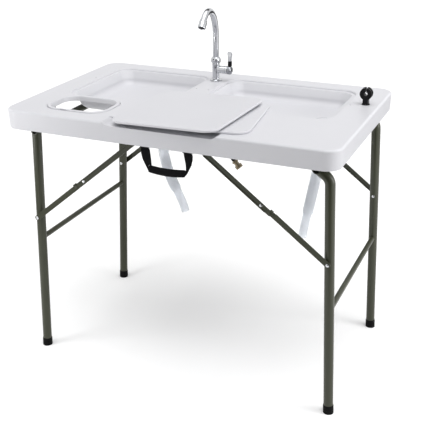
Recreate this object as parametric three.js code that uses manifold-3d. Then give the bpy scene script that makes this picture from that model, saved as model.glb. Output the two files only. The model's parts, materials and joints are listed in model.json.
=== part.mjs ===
// Folding fish cleaning table: a moulded top with two basins and a scrap hole, a faucet, two
// loose boards, drain hoses, a carry handle and two folding leg frames with knee braces.
// Millimetres, +Z up, +X along the long side, -Y towards the front edge.
import * as THREE from "three";
import { mergeVertices } from "three/addons/utils/BufferGeometryUtils.js";
import Module from "manifold-3d";

const wasm = await Module();
wasm.setup();

// Clearances and overruns
const seatGap = 0.3;
const runGap = 0.35;
const overrun = 20;

// Moulded top
const topLength = 1000;
const topWidth = 646;
const topHeight = 815;
const rimHeight = 57;
const deckWall = 5;
const skirtWall = 6;
const topCornerRadius = 46;
const topEdgeRadius = 7;
const skirtDraft = 2;

// Basins, measured from the ends and the rear edge of the top
const leftBasinFromEnd = 80;
const leftBasinLength = 333;
const leftBasinWidth = 360;
const rightBasinFromEnd = 97;
const rightBasinLength = 421;
const rightBasinWidth = 322;
const basinFromRear = 66;
const basinDepth = 49;
const basinWall = 5;
const basinCornerRadius = 46;
const basinDraft = 14;
const basinFootRadius = 16;
const basinLipRadius = 3;
const ledgeDepth = 8;
const ledgeWidth = 9;

// Scrap hole and its loose ring, measured from the left end and the front edge
const scrapFromEnd = 93;
const scrapFromFront = 54;
const scrapLength = 204;
const scrapWidth = 156;
const scrapCornerRadius = 56;
const rebateDepth = 5;
const rebateWidth = 9;
const ringGap = 1.5;
const ringLip = 6;
const ringRise = 2.5;
const ringWall = 3;
const ringCollarDepth = 26;

// Lowered sill in the middle of the front rim
const sillLength = 332;
const sillDrop = 10;
const sillReach = 54;
const sillEndRun = 22;

// Locating holes beside the basins
const pegHoleRadius = 2.8;
const pegHoleFromRim = 14;
const pegHoleFromRear = 225;

// Ribs under the flat work area
const ribWall = 3;
const ribHeight = 26;
const ribPitch = 62;

// Loose boards
const boardThickness = 7;
const boardEdgeRadius = 2.2;
const boardCornerRadius = 40;
const lidLength = 325;
const lidWidth = 344;
const lidFromLeft = 520;
const lidFromFront = 161;
const lidTurnDegrees = -3;
const boardLength = 190;
const boardWidth = 300;
const boardFromLeft = 633;
const boardFromFront = 171;
const boardTurnDegrees = 7;

// Drains, measured from the right end of each basin and from the rear edge
const leftDrainFromBasinEnd = 81;
const leftDrainFromRear = 298;
const rightDrainFromBasinEnd = 56;
const rightDrainFromRear = 248;
const drainFlangeRadius = 31;
const drainFlangeThickness = 2.4;
const drainRecessDepth = 3;
const drainTubeRadius = 19;
const drainBowlRadius = 15;
const drainBowlDepth = 6;
const strainerThickness = 2;
const strainerHoleRadius = 1.5;
const strainerRingRadius = 6.25;
const strainerRingCount = 6;
const drainTailLength = 20;
const spigotRadius = 11.5;
const spigotBore = 9;
const spigotLength = 24;
const drainNutRadius = 27;
const drainNutHeight = 9;
const drainNutWingCount = 4;

// Drain hoses
const hoseRadius = 13.4;
const hoseBore = 10.6;
const cuffRadius = 16.5;
const cuffBore = 12.4;

// Faucet, measured from the left end and the rear edge
const faucetFromLeft = 443.5;
const faucetFromRear = 107;
const faucetFlangeRadius = 20;
const faucetFlangeHeight = 5;
const faucetBodyRadius = 11.3;
const faucetBodyHeight = 51;
const collarNutRadius = 15;
const collarNutHeight = 20;
const spoutRadius = 9.3;
const spoutBore = 7;
const spoutRiser = 85;
const spoutArchHalf = 57.5;
const spoutArchHeight = 88;
const spoutArchDegrees = 131;
const spoutTip = 8;
const aeratorRadius = 12;
const aeratorLength = 27;
const valveRadius = 12.8;
const valveHeight = 37;
const valveLength = 41;
const hubRadius = 13.5;
const hubLength = 14;
const bandRadius = 6.5;
const bandHeight = 15;
const leverLength = 30;
const leverWidth = 16;
const leverThickness = 7;
const faucetChamfer = 1.6;
const shankRadius = 9.5;
const shankBore = 6;
const shankLength = 36;
const shankNutRadius = 20;
const shankNutHeight = 9;
const tailNutRadius = 13;
const tailNutHeight = 14;

// Supply hose and its brass coupling
const supplyRadius = 7;
const couplingLength = 30;
const couplingRadius = 9.5;
const couplingBore = 5.5;
const couplingHexRadius = 13;
const couplingHexLength = 9;
const swivelRadius = 14.5;
const swivelLength = 15;
const swivelWall = 2.6;
const swivelLap = 6;
const swivelGrooveCount = 16;
const swivelGrooveRadius = 0.95;

// Sprayer clip on the rear right of the rim
const clipFromRight = 42;
const clipFromRear = 203;
const clipDepth = 20;
const clipStemWidth = 20;
const clipStemHeight = 17;
const clipRingRadius = 21;
const clipBoreRadius = 7;
const clipSlotWidth = 5;
const clipFootRadius = 15;
const clipFootHeight = 3;

// Carry handle inside the front skirt
const handleFromMiddle = 20;
const handleSpan = 128;
const handleDrop = 62;
const handleSag = 7;
const webbingWidth = 25;
const webbingThickness = 2;
const webbingFold = 2;
const gripLength = 112;
const gripHeight = 20;
const gripDepth = 22;
const gripEndFlare = 2.5;
const gripWebbingHeight = 12;
const anchorWidth = 31;
const anchorHeight = 26;
const anchorThickness = 2;
const anchorScrewPitch = 12.5;
const anchorBarRadius = 2;
const anchorBarFromSkirt = 5.5;
const anchorBarDrop = 2.6;

// Leg frames
const pivotFromEnd = 71;
const pivotDrop = 16;
const pivotTubeRadius = 11;
const tubeWall = 1.6;
const legRadius = 14;
const legRowFromEdge = 62;
const legSplayDegrees = 2.55;
const legTopReach = 14.5;
const rightLegOffset = 34;
const rightLegBendDrop = 27;
const rightLegBendLength = 16;
const leftCrossbarDistance = 352;
const rightCrossbarDistance = 412;
const crossbarRadius = 8;
const footRadius = 15.4;
const footLength = 27;
const footSole = 6;
const footRibDepth = 0.8;
const footRibCount = 3;

// Clamps that hold the pivot tubes
const clampFromEdge = 123;
const clampWidth = 22;
const clampThickness = 2.5;
const clampReach = 24;
const bossWidth = 26;

// Knee braces
const leftAnchorFromPivot = 341;
const rightAnchorFromPivot = 317;
const anchorRise = 15;
const leftRivetDistance = 277;
const rightRivetDistance = 263.5;
const leftLowerLinkLength = 197.5;
const rightLowerLinkLength = 206;
const linkWidth = 15;
const linkThickness = 1.5;
const linkFlange = 4.5;
const linkEndRadius = 8;
const lowerLinkFromLeg = 6.7;
const upperLinkFromLeg = 10;
const kneeLugLength = 12;
const kneeLugHeight = 3.5;
const rivetPinRadius = 3;
const rivetHeadRadius = 5;
const rivetHeadThickness = 1.6;
const earThickness = 2;
const earWidth = 24;
const bracketFlangeWidth = 22;
const bracketScrewPitch = 12;
const bracketScrewFromEdge = 7;

// Screw heads
const screwHeadRadius = 4;
const screwHeadHeight = 2;

// Facet counts
const cornerSteps = 6;
const bendSteps = 4;
const edgeSteps = 3;
const linkEndSteps = 8;
const archSteps = 12;
const spoutSteps = 17;
const hoseSteps = 14;
const cuffSteps = 7;
const supplySteps = 16;
const gripSteps = 10;
const clipSteps = 26;
const holeSides = 8;
const grooveSides = 4;
const hexSides = 6;
const smallSides = 10;
const tubeSides = 14;
const boreSides = 16;
const latheSides = 20;
const couplingSides = 24;

// Share of an inset by which a basin's corner radius follows its wall
const cornerFollowShare = 0.55;

// Share of the edge radius at which a board's rounded edge is halfway round
const softEdgeShare = 0.3;

// Height, width and depth shares of the lever's sections
const leverLevelShares = [
  [0, 0.6, 1.1],
  [0.25, 0.68, 1],
  [0.6, 0.9, 0.85],
  [0.82, 1, 0.75],
  [0.95, 0.86, 0.62],
  [1, 0.6, 0.4],
];

// Where each rib of a foot rises, falls and ends, as shares of its pitch
const footRibShares = [0.05, 0.6, 0.75];

// Colours, roughness and metalness of each finish
const finish = (color, roughness, metalness) =>
  new THREE.MeshStandardMaterial({ color, roughness, metalness });
const whitePlastic = finish(0xf2f2f4, 0.5, 0);
const milkyHose = finish(0xe6eaec, 0.35, 0);
const olivePaint = finish(0x4d4f40, 0.55, 0.2);
const blackRubber = finish(0x161616, 0.8, 0);
const blackPlastic = finish(0x18181a, 0.45, 0);
const blackWebbing = finish(0x1b1b1d, 0.9, 0);
const chromed = finish(0xd8dadd, 0.12, 1);
const brassMetal = finish(0xb79a55, 0.3, 1);
const zinc = finish(0xb9bcc0, 0.35, 1);

const vec = (x, y, z) => new THREE.Vector3(x, y, z);
const up = vec(0, 0, 1);
const radians = THREE.MathUtils.degToRad;
const half = (value) => value / 2;

// Turns a closed geometry into a solid that can be cut and joined.
function toSolid(geometry) {
  const bare = geometry.index ? geometry.toNonIndexed() : geometry.clone();
  bare.deleteAttribute("normal");
  bare.deleteAttribute("uv");
  const merged = mergeVertices(bare);
  return new wasm.Manifold(
    new wasm.Mesh({
      numProp: 3,
      vertProperties: merged.attributes.position.array,
      triVerts: new Uint32Array(merged.index.array),
    }),
  );
}

const join = (first, ...rest) => rest.reduce((whole, piece) => whole.add(piece), first);
const cut = (first, ...tools) => tools.reduce((whole, tool) => whole.subtract(tool), first);

function toMesh(name, solid, material) {
  const data = solid.getMesh();
  const geometry = new THREE.BufferGeometry();
  geometry.setAttribute("position", new THREE.BufferAttribute(data.vertProperties, data.numProp));
  geometry.setIndex(new THREE.BufferAttribute(data.triVerts, 1));
  geometry.computeVertexNormals();
  const mesh = new THREE.Mesh(geometry, material.clone());
  mesh.name = name;
  return mesh;
}

// Points of a rounded rectangle, anticlockwise seen from above.
function roundedOutline(centre, length, width, radius, steps = cornerSteps) {
  const points = [];
  for (let corner = 0; corner < 4; corner += 1) {
    const signX = corner === 0 || corner === 3 ? 1 : -1;
    const signY = corner < 2 ? 1 : -1;
    for (let step = 0; step <= steps; step += 1) {
      const angle = ((corner + step / steps) * Math.PI) / 2;
      points.push(
        new THREE.Vector2(
          centre.x + signX * (half(length) - radius) + radius * Math.cos(angle),
          centre.y + signY * (half(width) - radius) + radius * Math.sin(angle),
        ),
      );
    }
  }
  return points;
}

// Closed surface through outlines stacked from the lowest to the highest.
function loftSurface(levels) {
  const count = levels[0].outline.length;
  const positions = [];
  const faces = [];
  levels.forEach(({ outline, z }) => outline.forEach((p) => positions.push(p.x, p.y, z)));
  for (let level = 0; level + 1 < levels.length; level += 1) {
    for (let i = 0; i < count; i += 1) {
      const a = level * count + i;
      const b = level * count + ((i + 1) % count);
      faces.push(a, b, b + count, a, b + count, a + count);
    }
  }
  const cap = ({ outline, z }, first, flip) => {
    const middle = positions.length / 3;
    const centre = outline.reduce((sum, p) => sum.add(p), new THREE.Vector2()).divideScalar(count);
    positions.push(centre.x, centre.y, z);
    for (let i = 0; i < count; i += 1) {
      const a = first + i;
      const b = first + ((i + 1) % count);
      faces.push(middle, flip ? b : a, flip ? a : b);
    }
  };
  cap(levels[0], 0, true);
  cap(levels[levels.length - 1], (levels.length - 1) * count, false);
  const geometry = new THREE.BufferGeometry();
  geometry.setAttribute("position", new THREE.Float32BufferAttribute(positions, 3));
  geometry.setIndex(faces);
  return geometry;
}

const loft = (levels) => toSolid(loftSurface(levels));

// A block from its lowest to its highest corner.
function block(low, high) {
  const size = high.clone().sub(low);
  const geometry = new THREE.BoxGeometry(size.x, size.y, size.z);
  geometry.translate(low.x + half(size.x), low.y + half(size.y), low.z + half(size.z));
  return toSolid(geometry);
}

// A round rod between two points.
function rod(from, to, radius, sides = smallSides) {
  const along = to.clone().sub(from);
  const geometry = new THREE.CylinderGeometry(radius, radius, along.length(), sides);
  geometry.rotateX(half(Math.PI));
  geometry.applyQuaternion(new THREE.Quaternion().setFromUnitVectors(up, along.normalize()));
  const middle = from.clone().add(to).divideScalar(2);
  geometry.translate(middle.x, middle.y, middle.z);
  return toSolid(geometry);
}

// A body of revolution: profile pairs of radius and distance along the axis, from the axis back to it.
function turned(profile, from, axis, sides = latheSides) {
  const geometry = new THREE.LatheGeometry(
    profile.map(([radius, along]) => new THREE.Vector2(radius, along)),
    sides,
  );
  geometry.rotateX(half(Math.PI));
  geometry.applyQuaternion(new THREE.Quaternion().setFromUnitVectors(up, axis.clone().normalize()));
  geometry.translate(from.x, from.y, from.z);
  return toSolid(geometry);
}

// A round tube along a curve, hollow where a bore is given.
function tube(curve, radius, bore, steps, sides = tubeSides) {
  const circle = (size) =>
    Array.from({ length: sides }, (_, i) => {
      const angle = (i * 2 * Math.PI) / sides;
      return new THREE.Vector2(size * Math.cos(angle), size * Math.sin(angle));
    });
  const shape = new THREE.Shape(circle(radius));
  if (bore > 0) shape.holes.push(new THREE.Path(circle(bore)));
  return toSolid(
    new THREE.ExtrudeGeometry(shape, { steps, extrudePath: curve, curveSegments: 1 }),
  );
}

// A flat outline drawn in X and Z, given a thickness from one Y to a larger one.
function plate(points, yLow, yHigh, holes = []) {
  const shape = new THREE.Shape(points);
  holes.forEach((hole) => shape.holes.push(new THREE.Path(hole)));
  const geometry = new THREE.ExtrudeGeometry(shape, {
    depth: yHigh - yLow,
    bevelEnabled: false,
    steps: 1,
  });
  geometry.rotateX(half(Math.PI));
  geometry.translate(0, yHigh, 0);
  return toSolid(geometry);
}

// A domed screw head on a face, sunk a little into what it holds.
function screwHead(place, axis, sink) {
  return turned(
    [
      [0, -sink],
      [screwHeadRadius, -sink],
      [screwHeadRadius, half(screwHeadHeight)],
      [half(screwHeadRadius), screwHeadHeight],
      [0, screwHeadHeight],
    ],
    place,
    axis,
    smallSides,
  );
}

// Profile of a rivet's outer head from its underside, by distance along the rivet.
const rivetHead = (base) => [
  [rivetHeadRadius, base],
  [rivetHeadRadius - half(rivetHeadThickness), base + rivetHeadThickness],
  [0, base + rivetHeadThickness],
];

const arcPoints = (centre, radius, from, to, steps) =>
  Array.from({ length: steps + 1 }, (_, i) => {
    const angle = from + ((to - from) * i) / steps;
    return new THREE.Vector2(
      centre.x + radius * Math.cos(angle),
      centre.y + radius * Math.sin(angle),
    );
  });

// Places worked out from the driving sizes
const leftEnd = -half(topLength);
const rightEnd = half(topLength);
const frontEdge = -half(topWidth);
const rearEdge = half(topWidth);
const skirtBottom = topHeight - rimHeight;
const deckUnderside = topHeight - deckWall;
const basinFloor = topHeight - basinDepth;
const basinUnderside = basinFloor - basinWall;
const legRow = rearEdge - legRowFromEdge;
const clampRow = rearEdge - clampFromEdge;
const pivotFromMiddle = rightEnd - pivotFromEnd;
const pivotZ = skirtBottom - pivotDrop;
const splay = radians(legSplayDegrees);

const leftBasin = {
  centre: new THREE.Vector2(
    leftEnd + leftBasinFromEnd + half(leftBasinLength),
    rearEdge - basinFromRear - half(leftBasinWidth),
  ),
  length: leftBasinLength,
  width: leftBasinWidth,
};
const rightBasin = {
  centre: new THREE.Vector2(
    rightEnd - rightBasinFromEnd - half(rightBasinLength),
    rearEdge - basinFromRear - half(rightBasinWidth),
  ),
  length: rightBasinLength,
  width: rightBasinWidth,
};
const basinEnd = (basin, side) => basin.centre.x + side * half(basin.length);
const leftDrain = vec(
  basinEnd(leftBasin, 1) - leftDrainFromBasinEnd,
  rearEdge - leftDrainFromRear,
  basinFloor,
);
const rightDrain = vec(
  basinEnd(rightBasin, 1) - rightDrainFromBasinEnd,
  rearEdge - rightDrainFromRear,
  basinFloor,
);
const scrapCentre = new THREE.Vector2(
  leftEnd + scrapFromEnd + half(scrapLength),
  frontEdge + scrapFromFront + half(scrapWidth),
);
const faucetSeat = vec(leftEnd + faucetFromLeft, rearEdge - faucetFromRear, topHeight);
const clipSeat = vec(rightEnd - clipFromRight, rearEdge - clipFromRear, topHeight);

// Outline of a basin, drawn in by an inset.
const basinOutline = (basin, inset) =>
  roundedOutline(
    basin.centre,
    basin.length - 2 * inset,
    basin.width - 2 * inset,
    basinCornerRadius - inset * cornerFollowShare,
  );

// Levels of a basin wall from its floor to under the ledge, grown outwards by a wall.
function basinWallLevels(basin, wall) {
  const inset = ledgeWidth + basinDraft - wall;
  const foot = basinFootRadius + wall;
  const levels = [];
  for (let step = 0; step <= edgeSteps; step += 1) {
    const angle = (step * half(Math.PI)) / edgeSteps;
    levels.push({
      outline: basinOutline(basin, inset + foot * (1 - Math.sin(angle))),
      z: basinFloor - wall + foot * (1 - Math.cos(angle)),
    });
  }
  return levels;
}

// The hollow of a basin: floor, drafted wall, ledge and rounded lip.
function basinHollow(basin) {
  const levels = basinWallLevels(basin, 0);
  const ledge = topHeight - ledgeDepth;
  levels.push({ outline: basinOutline(basin, ledgeWidth), z: ledge });
  levels.push({ outline: basinOutline(basin, 0), z: ledge });
  for (let step = 0; step <= edgeSteps; step += 1) {
    const angle = (step * half(Math.PI)) / edgeSteps;
    levels.push({
      outline: basinOutline(basin, -basinLipRadius * (1 - Math.cos(angle))),
      z: topHeight - basinLipRadius * (1 - Math.sin(angle)),
    });
  }
  levels.push({ outline: basinOutline(basin, -basinLipRadius), z: topHeight + overrun });
  return loft(levels);
}

// The outside of a basin, which hangs below the deck.
function basinTub(basin) {
  const levels = basinWallLevels(basin, basinWall);
  const ledge = topHeight - ledgeDepth - deckWall;
  levels.push({ outline: basinOutline(basin, ledgeWidth - basinWall), z: ledge });
  levels.push({ outline: basinOutline(basin, -basinWall), z: ledge });
  levels.push({ outline: basinOutline(basin, -basinWall), z: topHeight - half(deckWall) });
  return loft(levels);
}

// Outside and inside of the moulded rim
function topShell() {
  const centre = new THREE.Vector2();
  const outline = (inset) =>
    roundedOutline(
      centre,
      topLength - 2 * inset,
      topWidth - 2 * inset,
      topCornerRadius - inset,
    );
  const outside = [
    { outline: outline(skirtDraft), z: skirtBottom },
    { outline: outline(0), z: topHeight - topEdgeRadius },
  ];
  for (let step = 1; step <= edgeSteps + 1; step += 1) {
    const angle = (step * half(Math.PI)) / (edgeSteps + 1);
    outside.push({
      outline: outline(topEdgeRadius * (1 - Math.cos(angle))),
      z: topHeight - topEdgeRadius * (1 - Math.sin(angle)),
    });
  }
  const inside = [
    { outline: outline(skirtWall + skirtDraft), z: skirtBottom - overrun },
    { outline: outline(skirtWall + skirtDraft), z: deckUnderside },
  ];
  return cut(loft(outside), loft(inside));
}

const skirtInnerFace = frontEdge + skirtWall + skirtDraft;

// The lowered sill: a soft-ended notch along the front rim and the floor that closes it below.
function sillOutline(drop) {
  const ramp = (side) =>
    Array.from({ length: cornerSteps + 1 }, (_, i) => {
      const share = i / cornerSteps;
      const fall = half(1 - Math.cos(share * Math.PI));
      return new THREE.Vector2(
        side * (half(sillLength) + half(sillEndRun) - sillEndRun * share),
        topHeight - drop * fall,
      );
    });
  const right = ramp(1);
  const left = ramp(-1).reverse();
  return { right, left };
}

function sillNotch() {
  const { right, left } = sillOutline(sillDrop);
  const edge = half(sillLength) + half(sillEndRun);
  const points = [
    new THREE.Vector2(edge, topHeight + overrun),
    ...right,
    ...left,
    new THREE.Vector2(-edge, topHeight + overrun),
  ];
  return plate(points.reverse(), frontEdge - overrun, frontEdge + sillReach);
}

function sillFloor() {
  return block(
    vec(-half(sillLength) - sillEndRun, skirtInnerFace - half(skirtWall), deckUnderside - sillDrop),
    vec(half(sillLength) + sillEndRun, frontEdge + sillReach + deckWall, topHeight - half(deckWall)),
  );
}

// Ribs under the flat work area in front of the right basin.
function workAreaRibs() {
  const right = rightEnd - skirtWall - half(skirtDraft);
  const left = half(sillLength) + sillEndRun;
  const rear = rightBasin.centre.y - half(rightBasinWidth);
  const front = -legRow + legRadius + 2 * clampThickness;
  const low = deckUnderside - ribHeight;
  const ribs = [];
  for (let x = left; x < right - rightBasinFromEnd; x += ribPitch) {
    ribs.push(block(vec(x, front, low), vec(x + ribWall, rear, topHeight - half(deckWall))));
  }
  const rows = [front, half(front + rear)];
  const last = left + Math.floor((right - rightBasinFromEnd - left) / ribPitch) * ribPitch;
  rows.forEach((y) =>
    ribs.push(block(vec(left, y, low), vec(last, y + ribWall, topHeight - half(deckWall)))),
  );
  return ribs;
}

// Bosses with half-round saddles that carry the two pivot tubes.
function pivotBosses() {
  const bosses = [];
  const saddles = [];
  for (const side of [-1, 1]) {
    const x = side * pivotFromMiddle;
    for (const end of [-1, 1]) {
      const y = end * clampRow;
      bosses.push(
        block(
          vec(x - clampReach, y - half(bossWidth), pivotZ),
          vec(x + clampReach, y + half(bossWidth), topHeight - half(deckWall)),
        ),
      );
    }
    saddles.push(
      rod(vec(x, -rearEdge, pivotZ), vec(x, rearEdge, pivotZ), pivotTubeRadius + runGap, tubeSides),
    );
  }
  return { bosses, saddles };
}

// Scrap hole: a rebate for the ring's lip and a clear way through.
function scrapCuts() {
  const rebate = roundedOutline(scrapCentre, scrapLength, scrapWidth, scrapCornerRadius);
  const through = roundedOutline(
    scrapCentre,
    scrapLength - 2 * rebateWidth,
    scrapWidth - 2 * rebateWidth,
    scrapCornerRadius - rebateWidth,
  );
  return [
    loft([
      { outline: rebate, z: topHeight - rebateDepth },
      { outline: rebate, z: topHeight + overrun },
    ]),
    loft([
      { outline: through, z: skirtBottom - overrun },
      { outline: through, z: topHeight + overrun },
    ]),
  ];
}

// A collar below the deck that stiffens the scrap hole.
function scrapCollar() {
  const outline = roundedOutline(
    scrapCentre,
    scrapLength + 2 * deckWall,
    scrapWidth + 2 * deckWall,
    scrapCornerRadius + deckWall,
  );
  return loft([
    { outline, z: topHeight - rebateDepth - deckWall },
    { outline, z: topHeight - half(deckWall) },
  ]);
}

function pegHoles() {
  const y = rearEdge - pegHoleFromRear;
  const places = [leftBasin, rightBasin].flatMap((basin) =>
    [-1, 1].map((side) => basinEnd(basin, side) + side * pegHoleFromRim),
  );
  return places.map((x) =>
    rod(vec(x, y, deckUnderside - overrun), vec(x, y, topHeight + overrun), pegHoleRadius),
  );
}

function drainCuts(drain) {
  return [
    rod(
      drain.clone().setZ(basinFloor - drainRecessDepth),
      drain.clone().setZ(basinFloor + overrun),
      drainFlangeRadius + seatGap,
      latheSides,
    ),
    rod(
      drain.clone().setZ(basinUnderside - overrun),
      drain.clone().setZ(topHeight),
      drainTubeRadius + seatGap,
      latheSides,
    ),
  ];
}

// A thicker pad under each drain keeps the wall below its recess.
const drainPad = (drain) =>
  rod(
    drain.clone().setZ(basinUnderside - drainRecessDepth),
    drain.clone().setZ(basinFloor - half(basinWall)),
    drainFlangeRadius + basinWall,
    latheSides,
  );

function makeTop() {
  const { bosses, saddles } = pivotBosses();
  const faucetHole = rod(
    faucetSeat.clone().setZ(deckUnderside - overrun),
    faucetSeat.clone().setZ(topHeight + overrun),
    shankRadius + 2 * seatGap,
    latheSides,
  );
  const whole = join(
    topShell(),
    basinTub(leftBasin),
    basinTub(rightBasin),
    drainPad(leftDrain),
    drainPad(rightDrain),
    sillFloor(),
    scrapCollar(),
    ...bosses,
    ...workAreaRibs(),
  );
  return cut(
    whole,
    basinHollow(leftBasin),
    basinHollow(rightBasin),
    sillNotch(),
    faucetHole,
    ...scrapCuts(),
    ...pegHoles(),
    ...drainCuts(leftDrain),
    ...drainCuts(rightDrain),
    ...saddles,
  );
}

// The loose ring that lines the scrap hole.
function makeScrapRing() {
  const lip = (inset) =>
    roundedOutline(
      scrapCentre,
      scrapLength - 2 * inset,
      scrapWidth - 2 * inset,
      scrapCornerRadius - inset,
    );
  const low = topHeight - rebateDepth + seatGap;
  const collarInset = rebateWidth + ringGap;
  const outside = loft([
    { outline: lip(collarInset + ringWall), z: low - ringCollarDepth },
    { outline: lip(collarInset), z: low - ringCollarDepth + ringWall },
    { outline: lip(collarInset), z: low },
    { outline: lip(ringGap), z: low },
    { outline: lip(ringGap), z: topHeight },
    { outline: lip(ringGap + half(ringRise)), z: topHeight + ringRise - half(ringRise) },
    { outline: lip(ringGap + ringRise), z: topHeight + ringRise },
  ]);
  const innerInset = collarInset + ringWall;
  const inside = loft([
    { outline: lip(innerInset + ringWall), z: low - ringCollarDepth - overrun },
    { outline: lip(innerInset), z: low - ringCollarDepth + ringWall },
    { outline: lip(innerInset), z: topHeight - ringLip },
    { outline: lip(innerInset - ringRise), z: topHeight + ringRise },
    { outline: lip(innerInset - ringRise), z: topHeight + overrun },
  ]);
  return cut(outside, inside);
}

// A flat board with softened edges, its underside at zero and its middle at the origin.
function boardSurface(length, width) {
  const outline = (inset) =>
    roundedOutline(
      new THREE.Vector2(),
      length - 2 * inset,
      width - 2 * inset,
      boardCornerRadius - inset,
    );
  const chamfer = boardEdgeRadius;
  const soft = chamfer * softEdgeShare;
  return loftSurface([
    { outline: outline(chamfer), z: 0 },
    { outline: outline(0), z: chamfer },
    { outline: outline(0), z: boardThickness - chamfer },
    { outline: outline(soft), z: boardThickness - soft },
    { outline: outline(chamfer), z: boardThickness },
  ]);
}

const boardCentre = vec(leftEnd + boardFromLeft, frontEdge + boardFromFront, topHeight + seatGap);
const lidCentre = vec(leftEnd + lidFromLeft, frontEdge + lidFromFront, topHeight + seatGap);

// The cutting board lies flat on the deck.
function makeCuttingBoard() {
  const surface = boardSurface(boardLength, boardWidth);
  surface.rotateZ(radians(boardTurnDegrees));
  surface.translate(...boardCentre);
  return toSolid(surface);
}

// The lid lies across the board's left edge, and its lowest corner rests on the front rim.
function makeBasinLid() {
  const surface = boardSurface(lidLength, lidWidth);
  surface.rotateZ(radians(lidTurnDegrees));
  surface.translate(...lidCentre);
  const across = vec(1, 0, 0).applyAxisAngle(up, radians(boardTurnDegrees));
  const edge = boardCentre.clone().addScaledVector(across, -half(boardLength));
  const corners = surface.getAttribute("position");
  const distances = Array.from({ length: corners.count }, (_, i) =>
    vec(corners.getX(i), corners.getY(i), edge.z).sub(edge).dot(across),
  );
  const rise = boardThickness + seatGap;
  const tilt = Math.asin(rise / -Math.min(...distances));
  const hinge = edge.clone().setZ(edge.z + rise);
  const axis = up.clone().cross(across);
  surface.translate(0, 0, rise);
  surface.translate(-hinge.x, -hinge.y, -hinge.z);
  surface.applyMatrix4(new THREE.Matrix4().makeRotationAxis(axis, -tilt));
  surface.translate(hinge.x, hinge.y, hinge.z);
  return toSolid(surface);
}

// Drain strainer with its threaded tail and hose spigot, hanging from its flange.
function makeDrain(drain) {
  const top = -drainRecessDepth + seatGap + drainFlangeThickness;
  const plateZ = top - drainBowlDepth;
  const tail = -basinWall - drainRecessDepth - drainTailLength;
  const body = turned(
    [
      [0, plateZ],
      [drainBowlRadius - strainerThickness, plateZ],
      [drainBowlRadius, top],
      [drainFlangeRadius, top - half(drainFlangeThickness)],
      [drainFlangeRadius, top - drainFlangeThickness],
      [drainTubeRadius, top - drainFlangeThickness],
      [drainTubeRadius, tail],
      [spigotRadius, tail],
      [spigotRadius, tail - spigotLength],
      [spigotBore, tail - spigotLength],
      [spigotBore, plateZ - strainerThickness],
      [0, plateZ - strainerThickness],
    ].reverse(),
    drain,
    up,
  );
  const ring = Array.from({ length: strainerRingCount }, (_, i) => {
    const angle = (i * 2 * Math.PI) / strainerRingCount;
    return vec(strainerRingRadius * Math.cos(angle), strainerRingRadius * Math.sin(angle), 0);
  });
  const holes = [vec(0, 0, 0), ...ring].map((offset) => {
    const place = drain.clone().add(offset);
    return rod(
      place.clone().setZ(drain.z + plateZ - strainerThickness - half(strainerThickness)),
      place.clone().setZ(drain.z + plateZ + half(strainerThickness)),
      strainerHoleRadius,
      holeSides,
    );
  });
  return cut(body, ...holes);
}

// Backing nut with grip wings under a basin.
function makeDrainNut(drain) {
  const high = basinUnderside - drainRecessDepth - seatGap;
  const ring = turned(
    [
      [drainTubeRadius + seatGap, 0],
      [drainNutRadius, 0],
      [drainNutRadius, -drainNutHeight],
      [drainTubeRadius + seatGap, -drainNutHeight],
      [drainTubeRadius + seatGap, 0],
    ].reverse(),
    drain.clone().setZ(high),
    up,
  );
  const wings = Array.from({ length: drainNutWingCount }, (_, i) => {
    const angle = (i * 2 * Math.PI) / drainNutWingCount;
    const out = vec(Math.cos(angle), Math.sin(angle), 0);
    const middle = drain.clone().setZ(high - half(drainNutHeight));
    return rod(
      middle.clone().addScaledVector(out, drainNutRadius - half(drainNutHeight)),
      middle.clone().addScaledVector(out, drainNutRadius + half(drainNutHeight)),
      half(drainNutHeight) - seatGap,
      holeSides,
    );
  });
  return join(ring, ...wings);
}

// Routes of the hoses, by points chosen by hand
const leftHoseRoute = [
  [-168, 25, 737.7],
  [-168, 25, 712],
  [-166.8, 25, 689],
  [-163, 25, 662],
  [-159, 25, 634],
  [-154.5, 25, 606],
  [-149, 25.5, 580],
  [-141.5, 26, 554],
  [-131.5, 27, 528],
  [-119.5, 28, 503],
  [-107, 29, 478],
  [-95.5, 30, 452],
  [-86, 31, 424],
];
const rightHoseRoute = [
  [347, 75, 737.7],
  [347, 75, 712],
  [345.8, 75, 689],
  [342.5, 75, 662],
  [339, 75, 634],
  [335, 75, 606],
  [330.5, 75, 578],
  [325.5, 75, 550],
  [320.5, 75, 522],
  [315.5, 75, 494],
  [310.5, 75, 466],
  [305.5, 75, 438],
  [301, 75, 410],
  [297, 75, 382],
];
const supplyRoute = [
  [-56.5, 216, 766.4],
  [-56.5, 216, 745],
  [-55.8, 216, 722],
  [-54, 216, 699],
  [-50.5, 216, 677],
  [-45, 216, 655],
  [-39.5, 216, 634],
  [-32.5, 216, 613],
  [-24, 216, 594],
  [-14, 216, 577],
  [-2.5, 216, 562],
  [9, 216, 549],
];
const routeCurve = (route) => new THREE.CatmullRomCurve3(route.map(([x, y, z]) => vec(x, y, z)));

// A drain hose whose wide cuff slips over the spigot, its open end hanging free.
function makeDrainHose(route) {
  const points = routeCurve(route).getSpacedPoints(hoseSteps);
  const piece = (from, to, radius, bore) =>
    tube(
      new THREE.CatmullRomCurve3(points.slice(from, to + 1)),
      radius,
      bore,
      to - from,
      smallSides,
    );
  return join(
    piece(0, cuffSteps, cuffRadius, cuffBore),
    piece(cuffSteps - 1, hoseSteps, hoseRadius, hoseBore),
  );
}

// Faucet pieces, stacked from the deck upwards
const flangeTop = topHeight + seatGap + faucetFlangeHeight;
const bodyBase = flangeTop + seatGap;
const bodyTop = bodyBase + faucetBodyHeight;
const valveZ = topHeight + valveHeight;
const valveEnd = faucetSeat.x + valveLength;
const axisX = vec(1, 0, 0);

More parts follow.
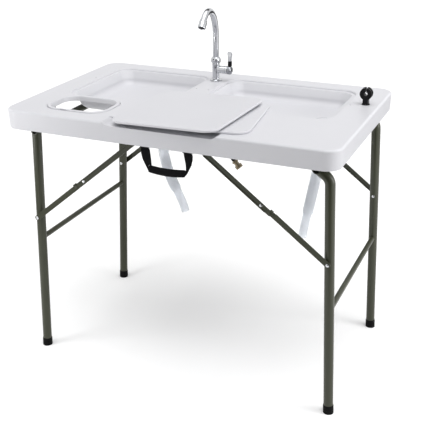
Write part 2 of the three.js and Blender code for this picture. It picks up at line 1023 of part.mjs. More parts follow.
function makeFaucetFlange() {
  const bore = shankRadius + seatGap;
  return turned(
    [
      [bore, 0],
      [faucetFlangeRadius, 0],
      [faucetFlangeRadius, half(faucetFlangeHeight)],
      [faucetBodyRadius + half(faucetFlangeHeight), faucetFlangeHeight],
      [bore, faucetFlangeHeight],
      [bore, 0],
    ],
    faucetSeat.clone().setZ(topHeight + seatGap),
    up,
  );
}

// Column, side valve barrel and threaded shank in one casting.
function makeFaucetBody() {
  const column = turned(
    [
      [0, shankEnd],
      [shankRadius, shankEnd],
      [shankRadius, bodyBase],
      [faucetBodyRadius + seatGap, bodyBase],
      [faucetBodyRadius, bodyBase + faucetFlangeHeight],
      [faucetBodyRadius, bodyTop],
      [spoutRadius + seatGap, bodyTop],
      [0, bodyTop],
    ],
    faucetSeat.clone().setZ(0),
    up,
  );
  const barrel = turned(
    [
      [0, 0],
      [valveRadius - half(faucetChamfer), 0],
      [valveRadius - half(faucetChamfer), valveLength - 2 * faucetChamfer],
      [valveRadius, valveLength - faucetChamfer],
      [valveRadius, valveLength],
      [0, valveLength],
    ],
    vec(faucetSeat.x, faucetSeat.y, valveZ),
    axisX,
  );
  const waterway = rod(
    faucetSeat.clone().setZ(shankEnd - overrun),
    faucetSeat.clone().setZ(valveZ),
    shankBore,
  );
  const riser = rod(
    faucetSeat.clone().setZ(valveZ - faucetChamfer),
    faucetSeat.clone().setZ(bodyTop + overrun),
    shankBore,
  );
  return cut(join(column, barrel), waterway, riser);
}

// Round nut that holds the swivelling spout down.
function makeCollarNut() {
  const low = bodyTop + seatGap;
  const bore = spoutRadius + seatGap;
  const crown = half(collarNutRadius - bore);
  return turned(
    [
      [bore, 0],
      [collarNutRadius - crown, 0],
      [collarNutRadius, crown],
      [collarNutRadius, collarNutHeight - 2 * crown],
      [collarNutRadius - crown, collarNutHeight],
      [bore, collarNutHeight],
      [bore, 0],
    ],
    faucetSeat.clone().setZ(low),
    up,
  );
}

// The gooseneck's path: straight up, over an oval arch and a short way on.
function spoutCurve() {
  const archZ = bodyTop + spoutRiser;
  const turn = radians(spoutArchDegrees);
  const archPoint = (angle) =>
    vec(
      faucetSeat.x,
      faucetSeat.y - spoutArchHalf * (1 - Math.cos(angle)),
      archZ + spoutArchHeight * Math.sin(angle),
    );
  const heading = vec(
    0,
    -spoutArchHalf * Math.sin(turn),
    spoutArchHeight * Math.cos(turn),
  ).normalize();
  const end = archPoint(turn);
  const points = Array.from({ length: archSteps + 1 }, (_, i) => archPoint((turn * i) / archSteps));
  const path = new THREE.CurvePath();
  path.add(new THREE.LineCurve3(faucetSeat.clone().setZ(bodyTop + 2 * seatGap), points[0]));
  path.add(new THREE.CatmullRomCurve3(points));
  path.add(new THREE.LineCurve3(end, end.clone().addScaledVector(heading, spoutTip)));
  return { path, end, heading };
}

function makeSpout() {
  const { path } = spoutCurve();
  return tube(path, spoutRadius, spoutBore, spoutSteps);
}

// Aerator cup round the spout's tip.
function makeAerator() {
  const { end, heading } = spoutCurve();
  const bore = spoutRadius + 2 * seatGap;
  const screen = spoutTip + 3 * seatGap;
  return turned(
    [
      [bore, 0],
      [aeratorRadius - faucetChamfer, 0],
      [aeratorRadius, faucetChamfer],
      [aeratorRadius, aeratorLength - 2 * faucetChamfer],
      [aeratorRadius - faucetChamfer, aeratorLength],
      [spoutBore, aeratorLength],
      [spoutBore, aeratorLength - 2 * faucetChamfer],
      [0, aeratorLength - 2 * faucetChamfer],
      [0, screen],
      [bore, screen],
      [bore, 0],
    ],
    end,
    heading,
  );
}

// Turning hub at the end of the valve barrel, with its stub for the band.
function makeValveHub() {
  const start = vec(valveEnd + seatGap, faucetSeat.y, valveZ);
  const round = half(hubLength - faucetChamfer) - faucetChamfer;
  return turned(
    [
      [0, 0],
      [hubRadius - faucetChamfer, 0],
      [hubRadius, faucetChamfer],
      [hubRadius, hubLength - round],
      [hubRadius - half(round), hubLength - half(faucetChamfer)],
      [hubRadius - round, hubLength],
      [0, hubLength],
    ],
    start,
    axisX,
  );
}
const leverX = valveEnd + seatGap + half(hubLength);
const bandBase = valveZ + hubRadius + seatGap;

function makeLeverBand() {
  const lip = half(faucetChamfer);
  return turned(
    [
      [0, 0],
      [bandRadius - lip, 0],
      [bandRadius, lip],
      [bandRadius, bandHeight - lip],
      [bandRadius - lip, bandHeight],
      [0, bandHeight],
    ],
    vec(leverX, faucetSeat.y, bandBase),
    up,
  );
}

// Upright paddle, wider towards its rounded top.
function makeLever() {
  const low = bandBase + bandHeight + seatGap;
  const outline = (width, depth) =>
    roundedOutline(
      new THREE.Vector2(leverX, faucetSeat.y),
      width,
      depth,
      half(depth) - seatGap,
      edgeSteps,
    );
  return loft(
    leverLevelShares.map(([rise, breadth, depth]) => ({
      outline: outline(leverWidth * breadth, leverThickness * depth),
      z: low + leverLength * rise,
    })),
  );
}

// Nut that draws the faucet down on the deck.
function makeShankNut() {
  const high = deckUnderside - seatGap;
  const bore = shankRadius + seatGap;
  return turned(
    [
      [bore, 0],
      [bore, -shankNutHeight],
      [bore + 2 * faucetChamfer, -shankNutHeight],
      [shankNutRadius, -half(shankNutHeight)],
      [shankNutRadius, 0],
      [bore, 0],
    ],
    faucetSeat.clone().setZ(high),
    up,
  );
}

const shankEnd = deckUnderside - shankLength;
const tailNutLow = shankEnd - seatGap - half(tailNutHeight);

// Nut that joins the supply hose to the shank.
function makeTailNut() {
  const hexagon = turned(
    [
      [0, 0],
      [supplyRadius + faucetChamfer, 0],
      [tailNutRadius, 2 * faucetChamfer],
      [tailNutRadius, tailNutHeight],
      [0, tailNutHeight],
    ],
    faucetSeat.clone().setZ(tailNutLow),
    up,
    hexSides,
  );
  const bore = rod(
    faucetSeat.clone().setZ(shankEnd - seatGap),
    faucetSeat.clone().setZ(shankEnd + overrun),
    shankRadius + 2 * seatGap,
    latheSides,
  );
  return cut(hexagon, bore);
}

// Brass hose coupling on the supply hose's end, in line with the hose.
const supplyCurve = routeCurve(supplyRoute);
const couplingHeading = supplyCurve.getTangentAt(1);
const couplingStart = supplyCurve.getPointAt(1).addScaledVector(couplingHeading, seatGap);

function makeCoupling() {
  const body = turned(
    [
      [0, 0],
      [couplingRadius, 0],
      [couplingRadius, couplingHexLength],
      [couplingRadius, couplingLength],
      [couplingBore, couplingLength],
      [couplingBore, couplingHexLength],
      [0, couplingHexLength],
    ],
    couplingStart,
    couplingHeading,
    couplingSides,
  );
  const hex = turned(
    [
      [0, faucetChamfer],
      [couplingHexRadius, faucetChamfer],
      [couplingHexRadius, couplingHexLength],
      [0, couplingHexLength],
    ],
    couplingStart,
    couplingHeading,
    hexSides,
  );
  const clearBore = rod(
    couplingStart.clone().addScaledVector(couplingHeading, couplingHexLength - faucetChamfer),
    couplingStart.clone().addScaledVector(couplingHeading, couplingLength + overrun),
    couplingBore,
    couplingSides,
  );
  return cut(join(body, hex), clearBore);
}

// Knurled ring that turns freely on the coupling's nose.
function makeSwivelRing() {
  const from = couplingLength - swivelLap;
  const bore = couplingRadius + runGap;
  const ring = turned(
    [
      [bore, 0],
      [swivelRadius, 0],
      [swivelRadius, swivelLength],
      [swivelRadius - swivelWall, swivelLength],
      [bore, swivelLength],
      [bore, 0],
    ],
    couplingStart.clone().addScaledVector(couplingHeading, from),
    couplingHeading,
    couplingSides,
  );
  const side = vec(0, 1, 0);
  const grooves = Array.from({ length: swivelGrooveCount }, (_, i) => {
    const out = side
      .clone()
      .applyAxisAngle(couplingHeading, (i * 2 * Math.PI) / swivelGrooveCount)
      .multiplyScalar(swivelRadius + seatGap);
    const start = couplingStart.clone().add(out);
    return rod(
      start.clone().addScaledVector(couplingHeading, from + half(swivelWall)),
      start.clone().addScaledVector(couplingHeading, from + swivelLength - half(swivelWall)),
      swivelGrooveRadius,
      grooveSides,
    );
  });
  return cut(ring, ...grooves);
}

// Spring clip: two thick jaws round a small bore, open at the top, on a stem and foot.
function makeClip() {
  const base = topHeight + seatGap;
  const centreZ = base + clipStemHeight + clipRingRadius;
  const middle = new THREE.Vector2(clipSeat.x, centreZ);
  const low = clipSeat.y - half(clipDepth);
  const high = clipSeat.y + half(clipDepth);
  const jaw = plate(arcPoints(middle, clipRingRadius, 0, 2 * Math.PI, clipSteps).slice(1), low, high);
  const bore = rod(
    vec(middle.x, low - overrun, centreZ),
    vec(middle.x, high + overrun, centreZ),
    clipBoreRadius,
    boreSides,
  );
  const slot = block(
    vec(clipSeat.x - half(clipSlotWidth), low - overrun, centreZ),
    vec(clipSeat.x + half(clipSlotWidth), high + overrun, centreZ + clipRingRadius + overrun),
  );
  const mouth = plate(
    [
      new THREE.Vector2(clipSeat.x, centreZ + clipBoreRadius),
      new THREE.Vector2(clipSeat.x + clipBoreRadius, centreZ + clipRingRadius + half(clipBoreRadius)),
      new THREE.Vector2(clipSeat.x - clipBoreRadius, centreZ + clipRingRadius + half(clipBoreRadius)),
    ],
    low - overrun,
    high + overrun,
  );
  const stem = block(
    vec(clipSeat.x - half(clipStemWidth), low, base),
    vec(clipSeat.x + half(clipStemWidth), high, centreZ - clipBoreRadius - clipFootHeight),
  );
  const foot = turned(
    [
      [0, 0],
      [clipFootRadius, 0],
      [clipFootRadius, half(clipFootHeight)],
      [clipFootRadius - half(clipFootHeight), clipFootHeight],
      [0, clipFootHeight],
    ],
    clipSeat.clone().setZ(base),
    up,
  );
  return cut(join(jaw, stem, foot), bore, slot, mouth);
}

// Carry handle: anchors inside the front skirt, webbing and a padded grip
const anchorBarY = skirtInnerFace + anchorBarFromSkirt;
const anchorBarZ = skirtBottom - anchorBarDrop;
const anchorX = (side) => handleFromMiddle + side * half(handleSpan);

function makeHandleAnchor(side) {
  const x = anchorX(side);
  const face = skirtInnerFace + seatGap;
  const low = skirtBottom + 2 * anchorBarRadius;
  const plateBlock = block(
    vec(x - half(anchorWidth), face, low),
    vec(x + half(anchorWidth), face + anchorThickness, low + anchorHeight),
  );
  const ears = [-1, 1].map((end) => {
    const outer = x + end * half(anchorWidth);
    const inner = outer - end * anchorThickness;
    return block(
      vec(Math.min(outer, inner), face, anchorBarZ - anchorBarRadius),
      vec(Math.max(outer, inner), anchorBarY + anchorBarRadius, low + 2 * anchorBarRadius),
    );
  });
  const skirtRelief = block(
    vec(x - anchorWidth, skirtInnerFace - overrun, anchorBarZ - overrun),
    vec(x + anchorWidth, face, topHeight),
  );
  const bar = rod(
    vec(x - half(anchorWidth) + half(anchorThickness), anchorBarY, anchorBarZ),
    vec(x + half(anchorWidth) - half(anchorThickness), anchorBarY, anchorBarZ),
    anchorBarRadius,
  );
  const screws = [-1, 1].map((end) =>
    screwHead(
      vec(x + end * half(anchorScrewPitch), face + anchorThickness, low + half(anchorHeight)),
      vec(0, 1, 0),
      half(anchorThickness),
    ),
  );
  return cut(join(plateBlock, bar, ...ears, ...screws), skirtRelief);
}

// Height of the sagging grip's centre line at a place along it.
function gripLine(x) {
  const share = (x - handleFromMiddle) / half(gripLength);
  return anchorBarZ - handleDrop - handleSag * (1 - share ** 2);
}

const gripStations = Array.from(
  { length: gripSteps + 1 },
  (_, i) => handleFromMiddle - half(gripLength) + (gripLength * i) / gripSteps,
);

// One webbing loop: an eye round each anchor bar, two drops and a folded run inside the grip.
function makeHandleWebbing() {
  const eyeBore = anchorBarRadius + runGap;
  const eyeRadius = eyeBore + webbingThickness;
  const low = anchorBarY - half(webbingThickness);
  const high = anchorBarY + half(webbingThickness);
  const strapHalf = half(webbingWidth);
  const runHalf = half(gripWebbingHeight);
  const left = anchorX(-1);
  const right = anchorX(1);
  const leftFold = gripStations[0] - webbingFold;
  const rightFold = gripStations[gripSteps] + webbingFold;
  const shoulder = anchorBarZ - eyeRadius + half(webbingThickness);
  const inside = gripStations.slice(1, -1);
  const at = (x, z) => new THREE.Vector2(x, z);
  const points = [
    at(left - strapHalf, shoulder),
    at(leftFold - webbingFold, gripLine(leftFold) - runHalf),
    ...gripStations.map((x) => at(x, gripLine(x) - runHalf)),
    at(rightFold + webbingFold, gripLine(rightFold) - runHalf),
    at(right + strapHalf, shoulder),
    at(right - strapHalf, shoulder),
    at(rightFold - half(webbingFold), gripLine(rightFold) + runHalf),
    ...inside.map((x) => at(x, gripLine(x) + runHalf)).reverse(),
    at(leftFold + half(webbingFold), gripLine(leftFold) + runHalf),
    at(left + strapHalf, shoulder),
  ];
  const eyes = [left, right].map((x) => {
    const barPart = (reach, radius) =>
      rod(
        vec(x - strapHalf - reach, anchorBarY, anchorBarZ),
        vec(x + strapHalf + reach, anchorBarY, anchorBarZ),
        radius,
      );
    return { outer: barPart(0, eyeRadius), inner: barPart(overrun, eyeBore) };
  });
  return cut(
    join(plate(points, low, high), ...eyes.map((eye) => eye.outer)),
    ...eyes.map((eye) => eye.inner),
  );
}

// Padded sleeve that sags with the webbing inside it and flares at its ends.
function makeGrip() {
  const swell = (share) => 1 - (gripEndFlare / gripHeight) * Math.sin(share * Math.PI);
  const rings = gripStations.map((x, station) =>
    Array.from({ length: smallSides }, (_, i) => {
      const angle = (i * 2 * Math.PI) / smallSides;
      const size = swell(station / gripSteps);
      return vec(
        x,
        anchorBarY + half(gripDepth) * size * Math.cos(angle),
        gripLine(x) + half(gripHeight) * size * Math.sin(angle),
      );
    }),
  );
  const y = half(webbingThickness) + seatGap;
  const z = half(gripWebbingHeight) + seatGap;
  const pitch = gripLength / gripSteps;
  const slotStations = [gripStations[0] - pitch, ...gripStations, gripStations[gripSteps] + pitch];
  const slots = slotStations.map((x) =>
    [[y, -z], [y, z], [-y, z], [-y, -z]].map(([across, rise]) =>
      vec(x, anchorBarY + across, gripLine(x) + rise),
    ),
  );
  return cut(skin(rings), skin(slots));
}

// Closed solid through rings of points stacked along +X.
function skin(rings) {
  const count = rings[0].length;
  const positions = rings.flat().flatMap((p) => [p.x, p.y, p.z]);
  const faces = [];
  for (let level = 0; level + 1 < rings.length; level += 1) {
    for (let i = 0; i < count; i += 1) {
      const a = level * count + i;
      const b = level * count + ((i + 1) % count);
      faces.push(a, b, b + count, a, b + count, a + count);
    }
  }
  const last = (rings.length - 1) * count;
  for (let i = 1; i + 1 < count; i += 1) {
    faces.push(0, i + 1, i);
    faces.push(last, last + i, last + i + 1);
  }
  const geometry = new THREE.BufferGeometry();
  geometry.setAttribute("position", new THREE.Float32BufferAttribute(positions, 3));
  geometry.setIndex(faces);
  return toSolid(geometry);
}

// Everything about one leg frame that follows from its side
function frameLayout(side) {
  const isLeft = side < 0;
  const offset = isLeft ? 0 : rightLegOffset;
  const pivot = vec(side * pivotFromMiddle, 0, pivotZ);
  const down = vec(side * Math.sin(splay), 0, -Math.cos(splay));
  const out = vec(side * Math.cos(splay), 0, Math.sin(splay));
  const line = pivot.clone().addScaledVector(out, offset);
  const legLength = line.z / Math.cos(splay);
  const rivetDistance = isLeft ? leftRivetDistance : rightRivetDistance;
  const anchorFromPivot = isLeft ? leftAnchorFromPivot : rightAnchorFromPivot;
  const rivet = line.clone().addScaledVector(down, rivetDistance);
  const anchor = vec(side * (pivotFromMiddle - anchorFromPivot), 0, pivotZ + anchorRise);
  const lowerLength = isLeft ? leftLowerLinkLength : rightLowerLinkLength;
  const reach = anchor.clone().sub(rivet);
  const upperLength = reach.length() - lowerLength;
  const knee = rivet.clone().addScaledVector(reach.clone().normalize(), lowerLength);
  const crossbarDistance = isLeft ? leftCrossbarDistance : rightCrossbarDistance;
  return {
    side, isLeft, pivot, down, line, legLength, rivet, anchor, knee, upperLength, lowerLength,
    crossbar: line.clone().addScaledVector(down, crossbarDistance),
  };
}

const atRow = (point, y) => point.clone().setY(y);

// Corners of a leg's centre line at one row: straight on the left, cranked below the pivot
// on the right.
function legPath(layout, y, bottom) {
  const end = atRow(layout.line.clone().addScaledVector(layout.down, bottom), y);
  if (layout.isLeft) {
    return [atRow(layout.pivot.clone().addScaledVector(layout.down, -legTopReach), y), end];
  }
  const bend = atRow(layout.line.clone().addScaledVector(layout.down, rightLegBendDrop), y);
  const pivot = atRow(layout.pivot, y);
  const crank = bend.clone().sub(pivot).normalize();
  const before = bend.clone().addScaledVector(crank, -rightLegBendLength);
  const after = bend.clone().addScaledVector(layout.down, rightLegBendLength);
  const curve = new THREE.QuadraticBezierCurve3(before, bend, after);
  return [pivot.addScaledVector(crank, -legTopReach), ...curve.getPoints(bendSteps), end];
}

// Rings of a round tube's wall along a leg's path.
function legRings(points, radius) {
  const across = vec(0, 1, 0);
  return points.map((point, i) => {
    const before = points[Math.max(i - 1, 0)];
    const after = points[Math.min(i + 1, points.length - 1)];
    const normal = after.clone().sub(before).normalize().cross(across);
    return Array.from({ length: tubeSides }, (_, k) => {
      const angle = (k * 2 * Math.PI) / tubeSides;
      return point
        .clone()
        .addScaledVector(across, radius * Math.cos(angle))
        .addScaledVector(normal, radius * Math.sin(angle));
    });
  });
}

// Shifts a ring past a path's end, away from the path's next point.
function ringPast(ring, end, next) {
  const lap = end.clone().sub(next).normalize().multiplyScalar(overrun);
  return ring.map((p) => p.clone().add(lap));
}

function legTube(layout, y, bottom) {
  const points = legPath(layout, y, bottom);
  const inner = legRings(points, legRadius - tubeWall);
  const [first, second] = points;
  const [last, previous] = points.slice().reverse();
  const bore = [
    ringPast(inner[0], first, second),
    ...inner,
    ringPast(inner[inner.length - 1], last, previous),
  ];
  return cut(skin(legRings(points, legRadius)), skin(bore));
}

const outward = (row) => vec(0, Math.sign(row), 0);
const rivetPart = (layoutPoint, row, profile, sides = smallSides) =>
  turned(profile, atRow(layoutPoint, row), outward(row), sides);

// A leg with its pivot eye and the shouldered rivet that carries the brace.
function makeLeg(layout, row) {
  const bottom = layout.legLength - footSole - seatGap;
  const leg = legTube(layout, row, bottom);
  const eye = rod(
    atRow(layout.pivot, row - legRadius - overrun),
    atRow(layout.pivot, row + legRadius + overrun),
    pivotTubeRadius + seatGap,
    smallSides,
  );
  const shoulder = legRadius + lowerLinkFromLeg - linkThickness - seatGap;
  const headBase = legRadius + lowerLinkFromLeg + seatGap;
  const rivet = rivetPart(layout.rivet, row, [
    [0, legRadius - tubeWall],
    [rivetHeadRadius, legRadius - tubeWall],
    [rivetHeadRadius, shoulder],
    [rivetPinRadius, shoulder],
    [rivetPinRadius, headBase],
    ...rivetHead(headBase),
  ]);
  return join(cut(leg, eye), rivet);
}

function makePivotTube(layout) {
  const reach = legRow + legRadius - half(tubeWall);
  const line = new THREE.LineCurve3(atRow(layout.pivot, -reach), atRow(layout.pivot, reach));
  return tube(line, pivotTubeRadius, pivotTubeRadius - tubeWall, 1, smallSides);
}

// Lower bar, coped to the round of both legs.
function makeCrossbar(layout) {
  const line = new THREE.LineCurve3(atRow(layout.crossbar, -legRow), atRow(layout.crossbar, legRow));
  const bar = tube(line, crossbarRadius, crossbarRadius - tubeWall, 1, boreSides);
  const legs = [-legRow, legRow].map((row) =>
    rod(
      atRow(layout.line, row),
      atRow(layout.line.clone().addScaledVector(layout.down, layout.legLength), row),
      legRadius + seatGap,
      tubeSides * 2,
    ),
  );
  return cut(bar, ...legs);
}

// Ribbed rubber cup on a leg's end, cut flat where it stands.
function makeFoot(layout, row) {
  const floorPoint = atRow(layout.line.clone().addScaledVector(layout.down, layout.legLength), row);
  const bore = legRadius + seatGap;
  const rim = footRadius;
  const profile = [
    [0, -footSole],
    [rim - footRibDepth, -footSole],
  ];
  const pitch = footLength / footRibCount;
  for (let rib = 0; rib < footRibCount; rib += 1) {
    profile.push([rim, pitch * (rib + footRibShares[0])]);
    profile.push([rim, pitch * (rib + footRibShares[1])]);
    profile.push([bore + half(rim - bore), pitch * (rib + footRibShares[2])]);
  }
  profile.push([bore + half(rim - bore), footLength]);
  profile.push([bore, footLength]);
  profile.push([bore, footSole]);
  profile.push([0, footSole]);
  const cup = turned(profile, floorPoint, layout.down.clone().negate(), tubeSides);
  const reach = 2 * footRadius;
  const floor = block(
    vec(floorPoint.x - reach, row - reach, -overrun),
    vec(floorPoint.x + reach, row + reach, 0),
  );
  return cut(cup, floor);
}

// Steel strap under a pivot tube, screwed up into the boss.
function makeClamp(layout, row) {
  const inner = pivotTubeRadius + runGap;
  const outer = inner + clampThickness;
  const high = pivotZ - seatGap;
  const low = high - clampThickness;
  const rowLow = row - half(clampWidth);
  const rowHigh = row + half(clampWidth);
  const x = layout.pivot.x;
  const ears = block(vec(x - clampReach, rowLow, low), vec(x + clampReach, rowHigh, high));
  const round = rod(vec(x, rowLow, pivotZ), vec(x, rowHigh, pivotZ), outer, tubeSides);
  const upper = block(
    vec(x - clampReach, rowLow - overrun, high),
    vec(x + clampReach, rowHigh + overrun, pivotZ + outer + overrun),
  );
  const bore = rod(
    vec(x, rowLow - overrun, pivotZ),
    vec(x, rowHigh + overrun, pivotZ),
    inner,
    tubeSides,
  );
  const screwX = half(outer + clampReach);
  const screws = [-1, 1].map((end) =>
    screwHead(vec(x + end * screwX, row, low), up.clone().negate(), half(clampThickness)),
  );
  return cut(join(cut(join(ears, round), upper), ...screws), bore);
}

// A channel link between two points of the side view: a web with rounded ends and two flanges.
function makeLink(from, to, webLow, webHigh, flangeLow, flangeHigh, row) {
  const along = new THREE.Vector2(to.x - from.x, to.z - from.z);
  const length = along.length();
  const angle = along.angle();
  const place = (points) =>
    points.map((p) => p.clone().rotateAround(new THREE.Vector2(), angle).add(
      new THREE.Vector2(from.x, from.z),
    ));
  const ends = new THREE.Vector2(length, 0);
  const stadium = [
    ...arcPoints(new THREE.Vector2(), linkEndRadius, half(Math.PI), 3 * half(Math.PI), linkEndSteps),
    ...arcPoints(ends, linkEndRadius, -half(Math.PI), half(Math.PI), linkEndSteps),
  ];
  const strip = (y) => [
    new THREE.Vector2(linkEndRadius + linkFlange, y),
    new THREE.Vector2(length - linkEndRadius - linkFlange, y),
    new THREE.Vector2(length - linkEndRadius - linkFlange, y + linkThickness),
    new THREE.Vector2(linkEndRadius + linkFlange, y + linkThickness),
  ];
  const layer = (points, low, high) => {
    const a = Math.sign(row) * (legRow + legRadius + low);
    const b = Math.sign(row) * (legRow + legRadius + high);
    return plate(place(points), Math.min(a, b), Math.max(a, b));
  };
  const solid = join(
    layer(stadium, webLow, webHigh),
    layer(strip(half(linkWidth) - linkThickness), flangeLow, flangeHigh),
    layer(strip(-half(linkWidth)), flangeLow, flangeHigh),
  );
  return { solid, layer };
}

// Lower link: hangs on the leg's rivet, channel open towards the leg, rivet head at the knee.
function makeLowerLink(layout, row) {
  const webHigh = lowerLinkFromLeg;
  const webLow = webHigh - linkThickness;
  const { solid } = makeLink(
    layout.rivet, layout.knee, webLow, webHigh, webHigh - linkFlange, webHigh, row,
  );
  const hole = rivetPart(layout.rivet, row, [
    [0, legRadius],
    [rivetPinRadius + runGap, legRadius],
    [rivetPinRadius + runGap, legRadius + webHigh + overrun],
    [0, legRadius + webHigh + overrun],
  ]);
  const head = rivetPart(layout.knee, row, [
    [0, legRadius + webLow - rivetHeadThickness],
    [rivetHeadRadius - half(rivetHeadThickness), legRadius + webLow - rivetHeadThickness],
    [rivetHeadRadius, legRadius + webLow],
    [rivetHeadRadius, legRadius + webLow + half(linkThickness)],
    [0, legRadius + webLow + half(linkThickness)],
  ]);
  return join(cut(solid, hole), head);
}

// Upper link: hangs on the bracket's rivet and carries the knee rivet and the stop lug.
function makeUpperLink(layout, row) {
  const webLow = upperLinkFromLeg;
  const webHigh = webLow + linkThickness;
  const { solid, layer } = makeLink(
    layout.anchor, layout.knee, webLow, webHigh, webLow, webLow + linkFlange, row,
  );
  const hole = (place, gap) =>
    rivetPart(place, row, [
      [0, legRadius + webLow - half(linkThickness)],
      [rivetPinRadius + gap, legRadius + webLow - half(linkThickness)],
      [rivetPinRadius + gap, legRadius + webHigh + half(linkThickness)],
      [0, legRadius + webHigh + half(linkThickness)],
    ]);
  const above = layout.side < 0 ? -1 : 1;
  const lugBase = half(linkWidth) - linkThickness;
  const lugTop = half(linkWidth) + kneeLugHeight;
  const start = layout.upperLength - half(kneeLugLength);
  const lugPoints = [
    new THREE.Vector2(start, above * lugBase),
    new THREE.Vector2(start + kneeLugLength, above * lugBase),
    new THREE.Vector2(start + kneeLugLength - linkThickness, above * lugTop),
    new THREE.Vector2(start + linkThickness, above * lugTop),
  ];
  const lug = layer(
    above > 0 ? lugPoints : lugPoints.reverse(),
    lowerLinkFromLeg + seatGap,
    webLow + linkFlange,
  );
  return join(cut(solid, hole(layout.anchor, runGap), hole(layout.knee, seatGap)), lug);
}

// Knee rivet: spacer between the links, pin and outer head.
function makeKneeRivet(layout, row) {
  const low = legRadius + lowerLinkFromLeg + seatGap;
  const web = legRadius + upperLinkFromLeg;
  return rivetPart(layout.knee, row, [
    [0, low],
    [rivetHeadRadius, low],
    [rivetHeadRadius, web - seatGap],
    [rivetPinRadius, web - seatGap],
    [rivetPinRadius, web + linkThickness + seatGap],
    ...rivetHead(web + linkThickness + seatGap),
  ]);
}

// Bracket screwed under the deck, with the rivet that the upper link turns on.
function makeBraceBracket(layout, row) {
  const sign = Math.sign(row);
  const inner = legRow + legRadius + upperLinkFromLeg - seatGap - earThickness;
  const outer = inner + earThickness;
  const flangeOuter = inner + bracketFlangeWidth;
  const x = layout.anchor.x;
  const high = deckUnderside - seatGap - (row < 0 ? sillDrop : 0);
  const ySpan = (a, b) => [Math.min(sign * a, sign * b), Math.max(sign * a, sign * b)];
  const [earLow, earHigh] = ySpan(inner, outer);
  const [flangeLow, flangeHigh] = ySpan(inner, flangeOuter);
  const ear = plate(
    [
      new THREE.Vector2(x - half(earWidth), high),
      ...arcPoints(
        new THREE.Vector2(x, layout.anchor.z),
        linkEndRadius,
        Math.PI,
        2 * Math.PI,
        linkEndSteps,
      ),
      new THREE.Vector2(x + half(earWidth), high),
    ],
    earLow,
    earHigh,
  );
  const flange = block(
    vec(x - half(earWidth), flangeLow, high - earThickness),
    vec(x + half(earWidth), flangeHigh, high),
  );
  const web = legRadius + upperLinkFromLeg;
  const rivet = rivetPart(layout.anchor, row, [
    [0, web - seatGap - half(earThickness)],
    [rivetPinRadius, web - seatGap - half(earThickness)],
    [rivetPinRadius, web + linkThickness + seatGap],
    ...rivetHead(web + linkThickness + seatGap),
  ]);
  const screws = [-1, 1].map((end) =>
    screwHead(
      vec(
        x + end * half(bracketScrewPitch),
        sign * (flangeOuter - bracketScrewFromEdge),
        high - earThickness,
      ),
      up.clone().negate(),
      half(earThickness),
    ),
  );
  return join(ear, flange, rivet, ...screws);
}

// The whole table
const table = new THREE.Group();
const add = (name, solid, material) => table.add(toMesh(name, solid, material));

add("table_top", makeTop(), whitePlastic);
add("scrap_ring", makeScrapRing(), whitePlastic);
add("cutting_board", makeCuttingBoard(), whitePlastic);
add("basin_lid", makeBasinLid(), whitePlastic);
for (const [side, drain, route] of [
  ["left", leftDrain, leftHoseRoute],
  ["right", rightDrain, rightHoseRoute],
]) {
  add(`${side}_drain_strainer`, makeDrain(drain), whitePlastic);
  add(`${side}_drain_nut`, makeDrainNut(drain), whitePlastic);
  add(`${side}_drain_hose`, makeDrainHose(route), milkyHose);
}
add("faucet_flange", makeFaucetFlange(), chromed);
add("faucet_body", makeFaucetBody(), chromed);
add("spout_collar_nut", makeCollarNut(), chromed);
add("faucet_spout", makeSpout(), chromed);
add("spout_aerator", makeAerator(), chromed);
add("valve_hub", makeValveHub(), chromed);
add("lever_band", makeLeverBand(), blackPlastic);
add("faucet_lever", makeLever(), chromed);
add("faucet_mounting_nut", makeShankNut(), blackPlastic);
add("supply_nut", makeTailNut(), brassMetal);
add("supply_hose", tube(supplyCurve, supplyRadius, 0, supplySteps, smallSides), blackRubber);
add("hose_coupling", makeCoupling(), brassMetal);
add("coupling_swivel_ring", makeSwivelRing(), brassMetal);
add("sprayer_clip", makeClip(), blackPlastic);
add("left_handle_anchor", makeHandleAnchor(-1), zinc);
add("right_handle_anchor", makeHandleAnchor(1), zinc);
add("handle_webbing", makeHandleWebbing(), blackWebbing);
add("handle_grip", makeGrip(), blackWebbing);

for (const side of [-1, 1]) {
  const layout = frameLayout(side);
  const hand = side < 0 ? "left" : "right";
  add(`${hand}_pivot_tube`, makePivotTube(layout), olivePaint);
  add(`${hand}_crossbar`, makeCrossbar(layout), olivePaint);
  for (const end of [-1, 1]) {
    const place = `${hand}_${end < 0 ? "front" : "rear"}`;
    const row = end * legRow;
    add(`${place}_leg`, makeLeg(layout, row), olivePaint);
    add(`${place}_foot`, makeFoot(layout, row), blackRubber);
    add(`${place}_pivot_clamp`, makeClamp(layout, end * clampRow), zinc);
    add(`${place}_brace_bracket`, makeBraceBracket(layout, row), zinc);
    add(`${place}_upper_brace_link`, makeUpperLink(layout, row), olivePaint);
    add(`${place}_lower_brace_link`, makeLowerLink(layout, row), olivePaint);
    add(`${place}_knee_rivet`, makeKneeRivet(layout, row), zinc);
  }
}

// The frame's origin is on the floor under the middle of the table, its hoses not counted
const hoseNames = [
  "left_drain_hose",
  "right_drain_hose",
  "supply_hose",
  "hose_coupling",
  "coupling_swivel_ring",
];
const extent = new THREE.Box3();
table.children
  .filter((mesh) => !hoseNames.includes(mesh.name))
  .forEach((mesh) => extent.expandByObject(mesh));
const middle = extent.getCenter(vec(0, 0, 0));
table.position.set(-middle.x, -middle.y, 0);

export default table;
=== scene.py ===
"""Folding fish cleaning table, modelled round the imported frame."""

import json
import logging
import math
from dataclasses import dataclass, field
from enum import Enum
from typing import Sequence

